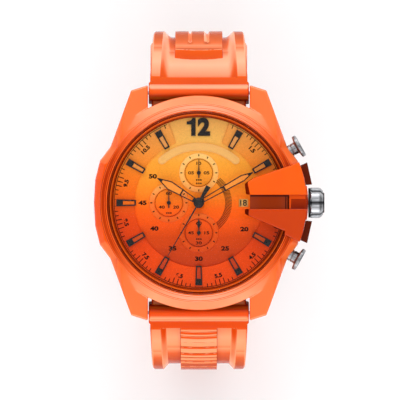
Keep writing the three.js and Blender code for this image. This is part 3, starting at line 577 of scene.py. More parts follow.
# STEEL_SHADE and STEEL_DARK are darker copies of the steel: painted shade in the crown's grooves, and the crown's dark
# seat and end cap.
STEEL_SHADE = steel("steel_groove", 0.4, (104, 105, 108))
STEEL_DARK = steel("steel_shadow", 0.4, (44, 44, 46))
BRASS = steel("movement_brass", 0.35, (196, 158, 88), (1.0, 30.0, 1.0))
COPPER = steel("coil_copper", 0.4, (190, 104, 60), (60.0, 1.0, 1.0))
BLACK = lacquer("black_lacquer", (24, 19, 17), coat=0.05, specular=0.35)
INK = lacquer("dial_ink", (24, 10, 3), 0.6, 0.0, 0.1)
# The ramps below run from 6 o'clock up to 12 o'clock. Their pale upper ends are partly the dial's own colours and
# partly painted light, brightened where the dial well loses the light from 12 o'clock.
DIAL_INNER = dial_material("dial_inner", [
    (0.0, 206, 62, 4), (0.14, 200, 60, 4), (0.3, 214, 68, 2), (0.38, 246, 84, 0), (0.46, 255, 98, 0),
    (0.6, 255, 146, 30), (0.73, 255, 168, 50), (0.86, 255, 194, 92), (1.0, 255, 196, 100)])
DIAL_RING = dial_material("dial_ring", [
    (0.0, 250, 84, 6), (0.12, 246, 78, 6), (0.3, 226, 64, 0), (0.42, 232, 72, 0), (0.56, 250, 106, 6),
    (0.7, 250, 134, 28), (0.85, 244, 158, 66), (1.0, 255, 184, 92)])
SUB_RING = dial_material("subdial_ring", [
    (0.0, 206, 66, 14), (0.2, 216, 72, 14), (0.36, 228, 82, 12), (0.5, 250, 118, 42), (0.62, 255, 180, 90),
    (0.78, 255, 204, 116), (1.0, 255, 210, 124)])
LUME = dial_material("lume", [
    (0.0, 200, 60, 24), (0.25, 196, 64, 22), (0.5, 240, 108, 14), (0.7, 238, 146, 60), (1.0, 226, 166, 100)], 0.5)
HAND_LUME = dial_material("hand_lume", [
    (0.0, 230, 110, 40), (0.5, 250, 140, 50), (0.62, 250, 150, 56), (1.0, 250, 170, 80)], 0.45)
CREAM = lacquer("badge_cream", (246, 186, 100), 0.35, 0.1, 0.3, 0.03)
DATE_PAPER = lacquer("date_disc", (255, 214, 120), 0.6, 0.0, 0.2, 0.03)
RUBBER = lacquer("gasket_rubber", (34, 34, 33), 0.8)
RESIN = lacquer("movement_resin", (70, 66, 62), 0.6)
BOARD = lacquer("circuit_green", (40, 104, 58), 0.4)


def crystal_material():
    """Clear glass: nearly nothing face on, and a gloss that grows at a slant."""
    n = Nodes("crystal_glass")
    slant = n.math("POWER", n.node("ShaderNodeLayerWeight").outputs["Facing"], 6.0)
    haze = n.spread(n.noise(60.0), 0.3, 0.7, 0.008, 0.016)
    n.into("Alpha", n.math("MULTIPLY_ADD", slant, 0.5, haze, clamp=True))
    n.colour(n.mix(n.noise(30.0), (0.02, 0.03, 0.035, 1), (0.03, 0.035, 0.04, 1)))
    n.rough(n.spread(n.noise(80.0), 0.3, 0.7, 0.02, 0.05))
    n.put(IOR=1.5)
    return n.material


CRYSTAL = crystal_material()

# ---------- pieces ----------
MATERIAL_OF_SLOT = {
    "shell": SHELL, "strap": STRAP, "guard_dark": GUARD_DARK, "dial": DIAL_INNER, "dial_ring": DIAL_RING,
    "cream": CREAM, "dark_applied": BLACK, "steel": STEEL, "brass": BRASS, "glass": CRYSTAL, "rubber": RUBBER,
    "resin": RESIN, "board": BOARD, "copper": COPPER,
}


def smooth_mesh(name, sheaf):
    mesh = bpy.data.meshes.new(name)
    mesh.from_pydata((np.array(sheaf.verts) * MM).tolist(), [], sheaf.faces)
    mesh.polygons.foreach_set("use_smooth", [True] * len(mesh.polygons))
    return mesh


def piece(name, sheaf, materials, body, replaces=None, smooth_angle=35.0):
    """A visible piece on a body, in place of a CAD node where it has one."""
    mesh = smooth_mesh(name, sheaf)
    for material in materials if isinstance(materials, list) else [materials]:
        mesh.materials.append(material)
    mesh.polygons.foreach_set("material_index", sheaf.slots)
    mesh.update()
    mesh.validate()
    mesh.set_sharp_from_angle(angle=math.radians(smooth_angle))
    made = placed(name, mesh)
    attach(made, body)
    if replaces:
        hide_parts(replaces)
    return made


def carve(target, cutter):
    """Cuts closed shells out of a piece for good."""
    tool = placed("cutter", smooth_mesh("cutter", cutter))
    modifier = target.modifiers.new("cut", "BOOLEAN")
    modifier.operation, modifier.object, modifier.solver = "DIFFERENCE", tool, "EXACT"
    done, old = finished_mesh(target), target.data
    target.modifiers.clear()
    target.data = done
    done.set_sharp_from_angle(angle=math.radians(35))
    bpy.data.objects.remove(tool)
    bpy.data.meshes.remove(old)


# ---------- case ----------
def case_outline():
    right = CASE_OUTLINE + [(CASE_HALF_WIDTH, 0.0)] + [(x, -y) for x, y in CASE_OUTLINE[::-1]]
    return right + [(-x, y) for x, y in right[::-1]]


CASE_POLYGON = case_outline()
SKIRT = [(0, 5.0), (26.3, 5.0), (26.3, 7.9), (24.3, CASE_TOP), (0, CASE_TOP)]


def case_field(x, y, z):
    """Signed distance to the middle case: its outline cut by sloping planes, then the lug gaps and the bores."""
    ay, ax = np.abs(y), np.abs(x)
    radius = np.sqrt(x * x + y * y)
    outline = polygon_distance(x, y, CASE_POLYGON)
    chamfer = (outline + (z - 7.5) * 0.685) * 0.825
    body = smooth_max(smooth_max(outline, chamfer, 0.5), z - CASE_TOP, 0.5)
    lug_slope = ((ay - 16.4) * 0.4646 + (z - CASE_TOP)) * 0.907
    body = smooth_max(body, lug_slope, 0.5)
    shoulder = ((radius - 24.4) * 0.32 + (z - CASE_TOP)) * 0.952
    body = smooth_max(body, shoulder, 0.4)
    underside = np.minimum(CASE_UNDERSIDE - z, (CASE_UNDERSIDE - 0.444 * (ay - 23.2) - z) * 0.914)
    body = smooth_max(body, underside, 0.6)
    lug_gap = np.maximum(ax - LUG_GAP / 2, 22.9 - ay)
    body = smooth_max(body, -lug_gap, 0.35)
    body = smooth_min(body, np.maximum(polygon_distance(radius, z, SKIRT), ax - 20), 0.25)
    bore = np.minimum(radius - DIAL_OPENING, np.maximum(radius - 22.6, 8.2 - z))
    body = smooth_max(body, -bore, 0.15)
    for angle in (PUSHER_ANGLE, -PUSHER_ANGLE):
        c, s = math.cos(math.radians(angle)), math.sin(math.radians(angle))
        reach, side = x * c + y * s, y * c - x * s
        pusher_bore = np.maximum(np.sqrt(side ** 2 + (z - STEM_Z) ** 2) - 1.62, 23.4 - reach)
        body = smooth_max(body, -pusher_bore, 0.3)
    stem_bore = np.maximum(np.sqrt(y ** 2 + (z - STEM_Z) ** 2) - 1.68, 18 - x)
    return smooth_max(body, -stem_bore, 0.2)


piece("case_shell", field_mesh(case_field, (-26.4, -29.6, -1.8), (26.9, 29.6, 11.0), 0.34), SHELL, "case",
      "case_middle", 60)

bezel_profile = soften(
    [(22.52, 10.28), (24.22, 10.28), (24.22, 11.3), (24.0, 11.46), (23.92, 11.42), (23.1, 12.16), (23.02, 12.1),
     (22.75, 12.38), (22.52, 12.34)],
    [0.05, 0.12, 0.1, 0.04, 0.04, 0.05, 0.04, 0.08, 0.03], 3)
piece("bezel_ring", lathe(bezel_profile, 256), BEZEL, "case", "bezel", 50)

crystal_rim = soften([(22.3, 10.38), (22.36, 12.0), (21.9, 12.3)], 0.08, 2, False)
crystal_profile = [(0, 10.38)] + crystal_rim + [(r, 12.34) for r in (20.0, 15.0, 8.0, 0)]
piece("crystal_glass", lathe(crystal_profile, 192), CRYSTAL, "case", "crystal", 30)

REHAUT_RINGS = [  # profile, softening, slot
    ([(20.95, 8.47), (21.36, 8.47), (21.36, 9.2), (21.3, 9.2)], 0.03, 0),
    ([(21.36, 8.47), (21.86, 8.47), (21.86, 9.75), (21.66, 9.72), (21.4, 9.34)], 0.04, 1),
    ([(21.86, 8.47), (22.45, 8.47), (22.45, 10.28), (22.2, 10.28), (21.9, 9.6)], 0.04, 0),
]
rehaut = Sheaf()
for ring_profile, edge, ring_slot in REHAUT_RINGS:
    rehaut.merge(lathe(soften(ring_profile, edge, 1), 256), ring_slot)
piece("rehaut", rehaut, [REHAUT, REHAUT_LIGHT], "case", "rehaut_ring", 40)


# ---------- dial ----------
DATE_WINDOW = soften([(9.8, -0.95), (12.1, -0.95), (12.1, 0.95), (9.8, 0.95)], 0.2, 2)


def dial_base():
    """The lower plate: a disc with three sunk sub-dials and its date window."""
    holes = [circle(0.45, 24, c) for c in SUBDIALS.values()] + [circle(1.25, 48)]
    sunk = [circle(SUBDIAL_RADIUS, 72, c) for c in SUBDIALS.values()]
    made = plate([circle(21.15, 200), DATE_WINDOW, circle(1.25, 48)] + sunk, PLATE_UNDERSIDE, PLATE_TOP, 0.03)
    for disc, hole in zip(sunk, holes):
        made.merge(plate([disc, hole], PLATE_UNDERSIDE, PLATE_TOP - 0.15, 0.01))
    return made


piece("dial_base", dial_base(), DIAL_INNER, "case", "dial_plate", 30)


SUB_RING_PROFILE = soften(
    [(SUBDIAL_RADIUS, 7.72), (4.84, 7.87), (4.84, 7.95), (4.7, 8.04), (3.74, 8.04), (SUBDIAL_RADIUS, 7.96)], 0.05, 2)
for key, centre in SUBDIALS.items():
    sub_ring = lathe(SUB_RING_PROFILE, 96).moved(placement(*centre))
    piece(f"subdial_ring_{key}", sub_ring, SUB_RING, "case", None, 40)

ring_outline = arc_band(15.8, 21.1, 21, 339, 300)
piece("chapter_ring_plate", plate([ring_outline], PLATE_TOP + 0.03, RING_TOP, 0.05, 2), DIAL_RING, "case",
      "chapter_ring", 40)

BADGE_SWEEP = 41.0


def badge_band(inset):
    """The outline of an arc with round ends, from the inner to the outer radius of the badge."""
    inner, outer = 12.8 + inset, 14.75 - inset
    middle, radius = (inner + outer) / 2, (outer - inner) / 2
    caps = []
    for side in (1, -1):
        cx, cy = polar(middle, clock(BADGE_SWEEP * side))
        first = clock(BADGE_SWEEP * side) + (0 if side > 0 else 180)
        turns = [polar(radius, first + t) for t in np.linspace(0, -180, 12)[1:-1]]
        caps.append([(cx + x, cy + y) for x, y in turns])
    angles = np.linspace(-BADGE_SWEEP, BADGE_SWEEP, 60)
    top, bottom = [polar(outer, clock(a)) for a in angles], [polar(inner, clock(a)) for a in angles[::-1]]
    return top + caps[0] + bottom + caps[1]


def badge():
    """A blank raised arc with a rim and a small ring near each end."""
    face = PLATE_TOP + 0.16
    made = plate([badge_band(0.0)], PLATE_TOP + 0.02, face, 0.04, 2)
    made.merge(plate([badge_band(0.0), badge_band(0.16)], face, face + 0.08, 0.03, 2))
    for side in (1, -1):
        eye = polar(13.77, clock(39.5 * side))
        made.merge(plate([circle(0.42, 24, eye), circle(0.26, 24, eye)], face, face + 0.06, 0.02))
    return made


piece("dial_badge", badge(), CREAM, "case", "dial_badge_arc", 40)


def bar(x0, y0, x1, y1, width, z):
    """A printed line."""
    dx, dy = x1 - x0, y1 - y0
    length = math.hypot(dx, dy)
    ox, oy = -dy / length * width / 2, dx / length * width / 2
    low = [(x0 + ox, y0 + oy, z), (x0 - ox, y0 - oy, z), (x1 - ox, y1 - oy, z), (x1 + ox, y1 + oy, z)]
    top = [(x, y, z + INK_DEPTH) for x, y, _ in low]
    faces = [(3, 2, 1, 0), (4, 5, 6, 7), (0, 1, 5, 4), (1, 2, 6, 5), (2, 3, 7, 6), (3, 0, 4, 7)]
    return Sheaf().add(low + top, faces)


def tick(r0, r1, degrees, width, z, centre=(0, 0)):
    """A printed line along a radius."""
    (x0, y0), (x1, y1) = polar(r0, clock(degrees)), polar(r1, clock(degrees))
    return bar(x0 + centre[0], y0 + centre[1], x1 + centre[0], y1 + centre[1], width, z)


def ring_line(radius, width, z, start=0.0, end=360.0, centre=(0, 0), steps=180):
    """A printed arc between two clock angles."""
    rows = []
    for a in np.linspace(start, end, steps + 1):
        ends = [polar(radius + offset, clock(a)) for offset in (-width / 2, width / 2)]
        (xi, yi), (xo, yo) = [(x + centre[0], y + centre[1]) for x, y in ends]
        top = z + INK_DEPTH
        rows.append([(xi, yi, z), (xo, yo, z), (xo, yo, top), (xi, yi, top)])
    return grid_surface(rows, capped=end - start < 360)


MINUTE_FIGURES = [("50", 300, 13.0), ("45", 270, 13.8), ("40", 240, 12.6), ("35", 210, 12.9), ("30", 180, 13.7),
                  ("25", 150, 12.9), ("20", 120, 12.9)]
HALF_HOUR_FIGURES = [("1.5", 45), ("4.5", 135), ("5.5", 165), ("6.5", 195), ("7.5", 225), ("8.5", 255), ("9.5", 285),
                     ("10.5", 315)]


def dial_print():
    """Seconds track, half-hour and minute figures, and the fan of lines beside the date."""
    made = Sheaf()
    ring, disc = RING_TOP + 0.002, PLATE_TOP + 0.002
    for half in range(8, 113):
        angle = half * 3.0
        nearest = abs(angle - 30 * round(angle / 30))
        if nearest < 5.5:
            continue
        long = abs(nearest - 15) < 0.1 or abs(nearest - 12) < 0.1
        made.merge(tick(19.3 if long else 19.9, 20.65, angle, 0.19, ring))
    for angle in [30 * h + d for h in range(1, 12) for d in (-2.4, 2.4)]:
        made.merge(tick(20.35, 20.65, angle, 0.08, ring))
    made.merge(ring_line(20.72, 0.13, ring, 22, 338))
    made.merge(ring_line(21.0, 0.1, ring, 21.5, 338.5))
    for value, degrees, radius in MINUTE_FIGURES:
        made.merge(lettering(value, 1.1, *polar(radius, clock(degrees)), disc, 0, 1.4, weight=0.045))
    made.merge(bar(-11.9, 0, -12.3, 0, 0.14, PLATE_TOP))
    for value, degrees in HALF_HOUR_FIGURES:
        upright = -degrees if degrees < 90 or degrees > 270 else 180 - degrees
        made.merge(lettering(value, 1.05, *polar(18.45, clock(degrees)), ring, upright, 1.15, weight=0.045))
    for angle in np.linspace(38, 140, 40):
        made.merge(bar(*polar(6.45, clock(angle)), *polar(8.1, clock(angle + 4)), 0.15, disc))
    return made


piece("dial_printing", dial_print(), INK, "case", None, 30)


# Figures as (text, x, y), then the heights of the small printed blocks, from each sub-dial's centre.
SUBDIAL_PRINT = {
    "upper": ([("10", 0, 2.35), ("05", -1.9, 0.0), ("05", 1.9, 0.0)], (-1.75, -2.6)),
    "left": ([("60", 0, 2.35), ("40", -1.75, -1.05), ("20", 1.75, -1.05)], (-2.5,)),
    "lower": ([("60", 0, 2.35), ("45", -1.95, 0.0), ("15", 1.95, 0.0), ("30", 0, -2.5)], (-1.55,)),
}


def subdial_print(key):
    cx, cy = SUBDIALS[key]
    figures, blocks = SUBDIAL_PRINT[key]
    z = PLATE_TOP - 0.148
    made = Sheaf()
    for i in range(12):
        made.merge(tick(4.05, 4.55, 30 * i, 0.24, 8.042, (cx, cy)))
    made.merge(ring_line(3.38, 0.06, z, centre=(cx, cy), steps=96))
    for i in range(60):
        made.merge(tick(3.12 if i % 5 == 0 else 3.22, 3.36, 6 * i, 0.06, z, (cx, cy)))
    for text, x, y in figures:
        made.merge(lettering(text, 0.76, cx + x, cy + y, z, 0, 1.45, weight=0.025))
    for x, y in [(cx + x, cy + y) for y in blocks for x in (-0.5, 0, 0.5)]:
        made.merge(bar(x - 0.17, y, x + 0.17, y, 0.36, z))
    return made


for key in SUBDIALS:
    piece(f"subdial_printing_{key}", subdial_print(key), INK, "case", None, 30)


# ---------- applied markers ----------
def marker():
    z0, z1 = 8.37, 8.8
    outer = [(-0.69, 15.4), (0.69, 15.4), (0.865, 20.2), (-0.865, 20.2)]
    pocket = [(-0.41, 15.78), (0.41, 15.78), (0.5, 18.6), (-0.5, 18.6)]
    made = plate([outer, pocket], z0, z1, 0.05, 2)
    made.merge(plate([[(x * 0.99, y) for x, y in pocket]], z0, z1 - 0.12, 0.01), 1)
    return made


for hour in (1, 2, 4, 5, 6, 7, 8, 9, 10, 11):
    piece(f"marker_{hour:02d}", marker().moved(placement(turn=-30 * hour)), [BLACK, LUME], "case",
          f"hour_index_{hour:02d}", 40)

one = soften([(-0.8, 16.4), (-0.8, 20.8), (-1.55, 20.8), (-1.9, 20.25), (-2.4, 19.98), (-2.96, 19.92), (-2.96, 19.2),
              (-1.86, 19.2), (-1.86, 16.4)], [0.05, 0.05, 0.1, 0.4, 0.3, 0.05, 0.05, 0.05, 0.05], 3)
twelve = plate([one], PLATE_TOP + 0.03, PLATE_TOP + 0.39, 0.04, 2)
twelve.merge(lettering("2", 4.42, 1.24, 18.62, PLATE_TOP + 0.03, 0, 1.02, 0.36, 0.055))
piece("numeral_12", twelve, BLACK, "case", "numeral_twelve", 30)


# ---------- hands ----------
def skeleton_hand(hub, neck, bar_at, shoulder, shoulder_at, length, z):
    rim = 0.25
    outer = [(neck, 0.6), (shoulder, shoulder_at), (0.1, length), (-0.1, length), (-shoulder, shoulder_at),
             (-neck, 0.6)]

    def half(y):
        if y < shoulder_at:
            return neck + (shoulder - neck) * (y - 0.6) / (shoulder_at - 0.6) - rim
        return max(shoulder + (0.1 - shoulder) * (y - shoulder_at) / (length - shoulder_at) - rim, 0.02)

    def window(y0, y1):
        ys = [y0, *([shoulder_at] if y0 < shoulder_at < y1 else []), y1]
        return [(half(y), y) for y in ys] + [(-half(y), y) for y in ys[::-1]]

    root, tip = window(hub + 0.4, bar_at - 0.15), window(bar_at + 0.2, length - 1.35)
    made = plate([outer, root, tip], z, z + 0.16, 0.03, 2)
    made.merge(plate([tip], z + 0.02, z + 0.1, 0.005), 1)
    boss = soften([(0, z), (hub, z), (hub, z + 0.25), (0, z + 0.25)], [0, 0.03, 0.06, 0], 3)
    return made.merge(lathe(boss, 64))


hour = skeleton_hand(1.3, 0.55, 4.9, 1.15, 8.3, 11.8, 8.95)
piece("hand_hour", hour.moved(placement(turn=-HAND_ANGLES["hour"])), [BLACK, HAND_LUME], "hour_arbor",
      "hour_hand", 40)
minute = skeleton_hand(1.1, 0.5, 7.2, 0.84, 12.4, 15.2, 9.4)
piece("hand_minute", minute.moved(placement(turn=-HAND_ANGLES["minute"])), [BLACK, HAND_LUME], "minute_arbor",
      "minute_hand", 40)


def chrono_hand():
    z = 9.85
    made = plate([[(-0.19, 0), (0.19, 0), (0.09, 15.0), (-0.09, 15.0)]], z, z + 0.14, 0.03, 1)
    tail = soften([(-0.26, 0), (0.26, 0), (0.62, -4.7), (-0.62, -4.7)], 0.12, 2)
    made.merge(plate([tail], z + 0.01, z + 0.22, 0.04, 2))
    boss = [(0, z - 0.1), (0.95, z), (0.95, z + 0.32), (0.3, z + 0.38), (0, z + 0.3)]
    boss = soften(boss, [0, 0.05, 0.1, 0.1, 0], 3)
    return made.merge(lathe(boss, 64))


piece("hand_chrono", chrono_hand().moved(placement(turn=-HAND_ANGLES["chrono"])), BLACK, "chrono_arbor",
      "chrono_seconds_hand", 40)


def small_hand(kind):
    z = 8.15
    if kind == "lozenge":
        edge = [(-0.1, 0.2), (-0.14, 1.2), (-0.42, 1.9), (-0.1, 3.3)]
        blade = edge + [(-x, y) for x, y in edge[::-1]]
        tail = -0.7
    else:
        blade = [(-0.15, 0), (-0.07, 3.3), (0.07, 3.3), (0.15, 0)]
        tail = -1.3
    made = plate([blade], z, z + 0.14, 0.02, 1)
    made.merge(plate([[(-0.14, 0), (0.14, 0), (0.14, tail), (-0.14, tail)]], z, z + 0.14, 0.02, 1))
    boss = soften([(0, z - 0.05), (0.5, z), (0.5, z + 0.25), (0, z + 0.28)], [0, 0.04, 0.08, 0], 3)
    return made.merge(lathe(boss, 40))


for name, body, kind, key, node in (
    ("hand_tenths", "tenths_counter", "needle", "upper", "tenths_hand"),
    ("hand_minutes_counted", "minute_counter", "needle", "left", "minute_counter_hand"),
    ("hand_running_seconds", "running_seconds", "lozenge", "lower", "running_seconds_hand"),
):
    piece(name, small_hand(kind).moved(placement(*SUBDIALS[key])), BLACK, body, node, 40)


# ---------- date ----------
def date_ring():
    made = plate([circle(12.95, 120), circle(9.7, 120)], 7.0, 7.2, 0.02)
    for day in range(1, 32):
        angle = 90 + (day - 18) * 360 / 31
        x, y = polar(10.95, clock(angle))
        made.merge(lettering(str(day), 1.5, x, y, 7.2, 90 - angle, 1.0, 0.03, 0.02), 1)
    return made


piece("date_figures", date_ring(), [DATE_PAPER, BLACK], "date_ring", "date_disc", 30)
window_frame = soften([(9.0, -1.6), (12.6, -1.6), (12.6, 1.6), (9.0, 1.6)], 0.1, 2)
window_hole = soften([(9.8, -0.95), (12.1, -0.95), (12.1, 0.95), (9.8, 0.95)], 0.2, 2)
piece("date_frame", plate([window_frame, window_hole], PLATE_TOP + 0.005, PLATE_TOP + 0.1, 0.04, 2),
      DIAL_INNER, "case", None, 40)


# ---------- crown and pushers ----------
def crown():
    """A dark seat, a knob with six broad lobes, and a dark end cap."""
    profile = soften(
        [(0, 0.36), (3.45, 0.36), (3.74, 0.62), (3.74, 2.85), (2.9, 3.62), (0, 3.62)],
        [0, 0.1, 0.2, 0.7, 0.12, 0], 5, False)
    segments = 240
    rows = []
    for r, z in profile[1:-1]:
        grip = np.clip((z - 0.5) / 0.3, 0, 1)
        row = []
        for i in range(segments):
            a = 2 * math.pi * i / segments
            reach = r - 0.5 * (0.5 + 0.5 * math.cos(6 * a)) ** 1.5 * grip
            row.append((reach * math.cos(a), reach * math.sin(a), z))
        rows.append(row)
    made = grid_surface(rows)
    # Painted shade in the grooves between the lobes: the darkest steel down the middle of each groove, and a mid shade
    # on its flanks.
    for k, face in enumerate(made.faces):
        x, y, _ = np.mean([made.verts[v] for v in face], axis=0)
        off = abs((math.degrees(math.atan2(y, x)) + 30) % 60 - 30)
        if math.hypot(x, y) > 2.0 and off < 9.5:
            made.slots[k] = 1 if off < 3 else 2
    made.merge(lathe(soften([(0, 0.0), (3.62, 0.0), (3.62, 0.42), (0, 0.42)], [0, 0.08, 0.05, 0], 2, False), 96), 1)
    cap = soften([(0, 3.5), (2.5, 3.5), (2.5, 3.8), (2.3, 3.92), (0, 3.92)], [0, 0, 0.08, 0.08, 0], 2, False)
    return made.merge(lathe(cap, 96), 1)


crown_sheaf = along_x(crown().moved(placement(z=26.87)))
piece("crown_knob", crown_sheaf, [STEEL_BRIGHT, STEEL_DARK, STEEL_SHADE], "crown_rotor", "crown", 40)


def pusher():
    profile = soften(
        [(0, 24.5), (1.48, 24.5), (1.48, 26.2), (1.36, 26.3), (1.36, 26.4), (1.48, 26.5), (1.48, 27.5), (2.5, 27.66),
         (2.84, 27.8), (2.84, 28.5), (2.6, 28.73), (0.9, 28.7), (0, 28.66)],
        [0, 0.05, 0.05, 0.03, 0.03, 0.05, 0.2, 0.15, 0.12, 0.12, 0.15, 0.3, 0], 4, False)
    return lathe(profile, 96)


for name, angle, body in (("upper", PUSHER_ANGLE, "pusher_2_oclock"), ("lower", -PUSHER_ANGLE, "pusher_4_oclock")):
    piece(f"push_button_{name}", along_x(pusher(), angle), STEEL, body, f"pusher_{name}", 40)

# ---------- guard ----------
GUARD_UPPER = [(13.3, 6.1), (10.95, 4.6), (11.4, 1.95), (26.4, 1.95), (26.3, 3.0), (25.75, 6.2), (24.5, 9.88)]
GUARD_LOWER = [(26.4, -1.5), (11.1, -1.5), (11.1, -2.7), (20.85, -6.9), (20.8, -7.8), (24.65, -9.46), (25.5, -7.0),
               (26.2, -3.6)]
GUARD_BRIDGE = [(22.0, 2.1), (26.4, 2.1), (26.42, 0.0), (26.4, -1.7), (22.0, -1.7)]


def guard_field(x, y, z):
    upper = polygon_distance(x, y, GUARD_UPPER)
    lower = polygon_distance(x, y, GUARD_LOWER)
    bridge = polygon_distance(x, y, GUARD_BRIDGE)
    ay = np.abs(y)
    roof = (z - (14.2 - np.maximum(ay - 1.0, 0) * 0.13)) * 0.99
    nose = ((z - 12.6) - (x - 11.1 - 0.12 * np.maximum(4.6 - y, 0) * (y > 0)) * 1.4) * 0.58
    bottom = 12.55 - z
    top_upper = smooth_max(smooth_max(roof, nose, 0.25), bottom, 0.15)
    upper = smooth_max(upper, top_upper, 0.4)
    lower = smooth_max(lower, top_upper, 0.4)
    bridge = smooth_max(smooth_max(bridge, z - 13.55, 0.2), bottom, 0.2)
    body = np.minimum(np.minimum(upper, lower), bridge)
    radius = np.sqrt(x * x + y * y)
    angle = np.degrees(np.arctan2(y, x))
    leg = np.maximum(np.maximum(24.5 - radius, radius - 26.4), np.maximum(10.4 - z, z - 13.0))
    leg = np.maximum(leg, np.maximum(angle - 22, -21 - angle) * 0.44)
    foot = np.maximum(np.maximum(25.95 - radius, radius - 26.75), np.maximum(8.9 - z, z - 13.0))
    foot = np.maximum(foot, (np.abs(angle) - 9) * 0.45)
    return smooth_min(body, np.minimum(leg, foot), 0.3)


piece("guard_bridge", field_mesh(guard_field, (10.3, -10.3, 8.3), (27.4, 10.7, 14.9), 0.15), GUARD, "case",
      "crown_guard", 60)


def slot_floor():
    """A brown sheet of painted shade under the guard's slot, with a darker strip of painted wall shadow along its upper
    edge, crossed by two ridges at its outer end.
    """
    made = plate([soften([(12.5, -1.75), (22.2, -1.75), (22.2, 2.05), (12.5, 2.05)], 0.2, 2)], 12.4, 12.5, 0.02)
    # A darker strip of painted wall shadow along the slot's upper edge.
    made.merge(plate([[(12.6, 1.5), (22.2, 1.5), (22.2, 2.03), (12.6, 2.03)]], 12.5, 12.62, 0.03), 1)
    for x in (21.15, 21.75):
        made.merge(plate([[(x, -1.6), (x + 0.22, -1.6), (x + 0.22, 1.9), (x, 1.9)]], 12.5, 12.66, 0.04), 1)
    return made


piece("guard_slot_shade_sheet", slot_floor(), [GUARD_SLOT_SHADE, GUARD_DARK], "case", None, 40)
rim = [(22.1, -1.46), (22.5, -1.46), (22.6, 0.95), (26.1, 0.95), (26.1, 1.9), (22.1, 1.9)]
piece("guard_bridge_rim", plate([rim], 13.35, 13.62, 0.05, 2), GUARD_RIM, "case", None, 40)


def side_block(side):
    outline = [(25.95, 4.3), (27.75, 4.5), (26.55, 9.9), (24.95, 9.2), (25.6, 6.2)]
    points = [(x, y * side) for x, y in outline]
    return plate([points if side > 0 else points[::-1]], 2.4, 8.7, 0.15, 3)


for name, side in (("upper", 1), ("lower", -1)):
    piece(f"guard_shoulder_{name}", side_block(side), GUARD_DARK, "case", f"guard_block_{name}", 40)


# ---------- case back ----------
def back_plate():
    angles = np.linspace(0, 360, 361)[:-1]
    outline = []
    for a in angles:
        reach = 22.8
        for ear in (45, 135, 225, 315):
            d = math.radians((a - ear + 180) % 360 - 180)
            if abs(d) < math.asin(2.3 / 24):
                reach = max(reach, 24 * math.cos(d) + math.sqrt(2.3 ** 2 - (24 * math.sin(d)) ** 2))
        outline.append(polar(reach, a))
    holes = [circle(1.42, 40, polar(24, a)) for a in (45, 135, 225, 315)]
    made = plate([outline] + holes, 0.3, 1.2, 0.12, 2)
    dish = soften([(0, 0.0), (14.0, 0.0), (14.2, 0.1), (14.8, 0.1), (15.0, 0.0), (20.6, 0.0), (21.6, 0.35), (21.6, 1.0),
                   (0, 1.0)], [0, 0.05, 0.05, 0.05, 0.05, 0.3, 0.1, 0.1, 0], 3, False)
    made.merge(lathe(dish, 200))
    made.merge(lathe([(19.6, 1.1), (21.3, 1.1), (21.3, 2.2), (19.6, 2.2)], 96))
    return made


piece("back_cover", back_plate(), STEEL, "case", "case_back", 35)


def screw():
    made = plate([circle(1.3, 48), soften([(-0.95, -0.16), (0.95, -0.16), (0.95, 0.16), (-0.95, 0.16)], 0.05, 1)],
                 0.3, 0.5, 0.05, 2)
    shank = [(0, 0.48), (1.3, 0.48), (1.3, 0.73), (0.7, 0.75), (0.7, 4.8), (0, 4.8)]
    made.merge(lathe(soften(shank, 0.03, 1, False), 48))
    return made


for i, a in enumerate((45, 135, 225, 315), 1):
    x, y = polar(24, a)
    piece(f"back_screw_{i}", screw().moved(placement(x, y, 0, 20 + 35 * i)), STEEL_BRIGHT, "case",
          f"case_back_screw_{i}", 35)


# ---------- strap ----------
class Spine:
    """The strap's middle line in the side view: distance out from the case, height, and heading below horizontal."""

    def __init__(self, heading, runs):
        self.runs, s, state = [], 0.0, (*LUG_PIVOT, math.radians(heading))
        for radius, amount in runs:
            sweep = math.radians(amount) if radius else 0.0
            span = radius * sweep if radius else amount
            self.runs.append((s, state, radius, span))
            state = self.step(state, radius, span)
            s += span
        self.length = s

    @staticmethod
    def step(state, radius, d):
        out, z, down = state
        if not radius:
            return (out + d * math.cos(down), z - d * math.sin(down), down)
        to = down + d / radius
        return (out + radius * (math.sin(to) - math.sin(down)), z - radius * (math.cos(down) - math.cos(to)), to)

    def at(self, s):
        run = [r for r in self.runs if s >= r[0]][-1] if s >= 0 else self.runs[0]
        if s < 0:
            return self.step(run[1], 0, s)
        return self.step(run[1], run[2], s - run[0])


UPPER = Spine(25, [(0, 3.5), (15, 65), (25, 35), (0, 14.4)])
LOWER = Spine(28, [(0, 3.5), (14, 62), (130, 15), (20, 75), (0, 36)])


def on_strap(spine, side, s, x, n):
    """Points on a strap: x across, n out of its outer face, at a distance s along it."""
    out, z, down = spine.at(s)
    x, n = np.asarray(x, float), np.asarray(n, float)
    return np.stack([side * x, side * (out + n * math.sin(down)), z + n * math.cos(down)], -1)


def step_up(v, low, high):
    t = np.clip((v - low) / (high - low), 0, 1)
    return t * t * (3 - 2 * t)


def table(s, stops):
    return float(np.interp(s, [a for a, _ in stops], [b for _, b in stops]))


def columns(width, block, rail, chamfer):
    """Positions across half a strap, close together where its surface breaks."""
    rail_top, rail_foot = width - rail, width - rail - chamfer
    parts = [
        np.linspace(0, block - 0.3, 14), [block - 0.18, block - 0.08, block, block + 0.06, block + 0.14],
        np.linspace(block + 0.4, rail_foot - 0.2, 7), np.linspace(rail_foot - 0.06, rail_top + 0.06, 9),
        np.linspace(rail_top + 0.3, width - 0.75, 4),
        width - 0.6 + 0.6 * np.sin(np.linspace(0.0, math.pi / 2, 6)),
    ]
    return np.concatenate([np.asarray(p, float) for p in parts])


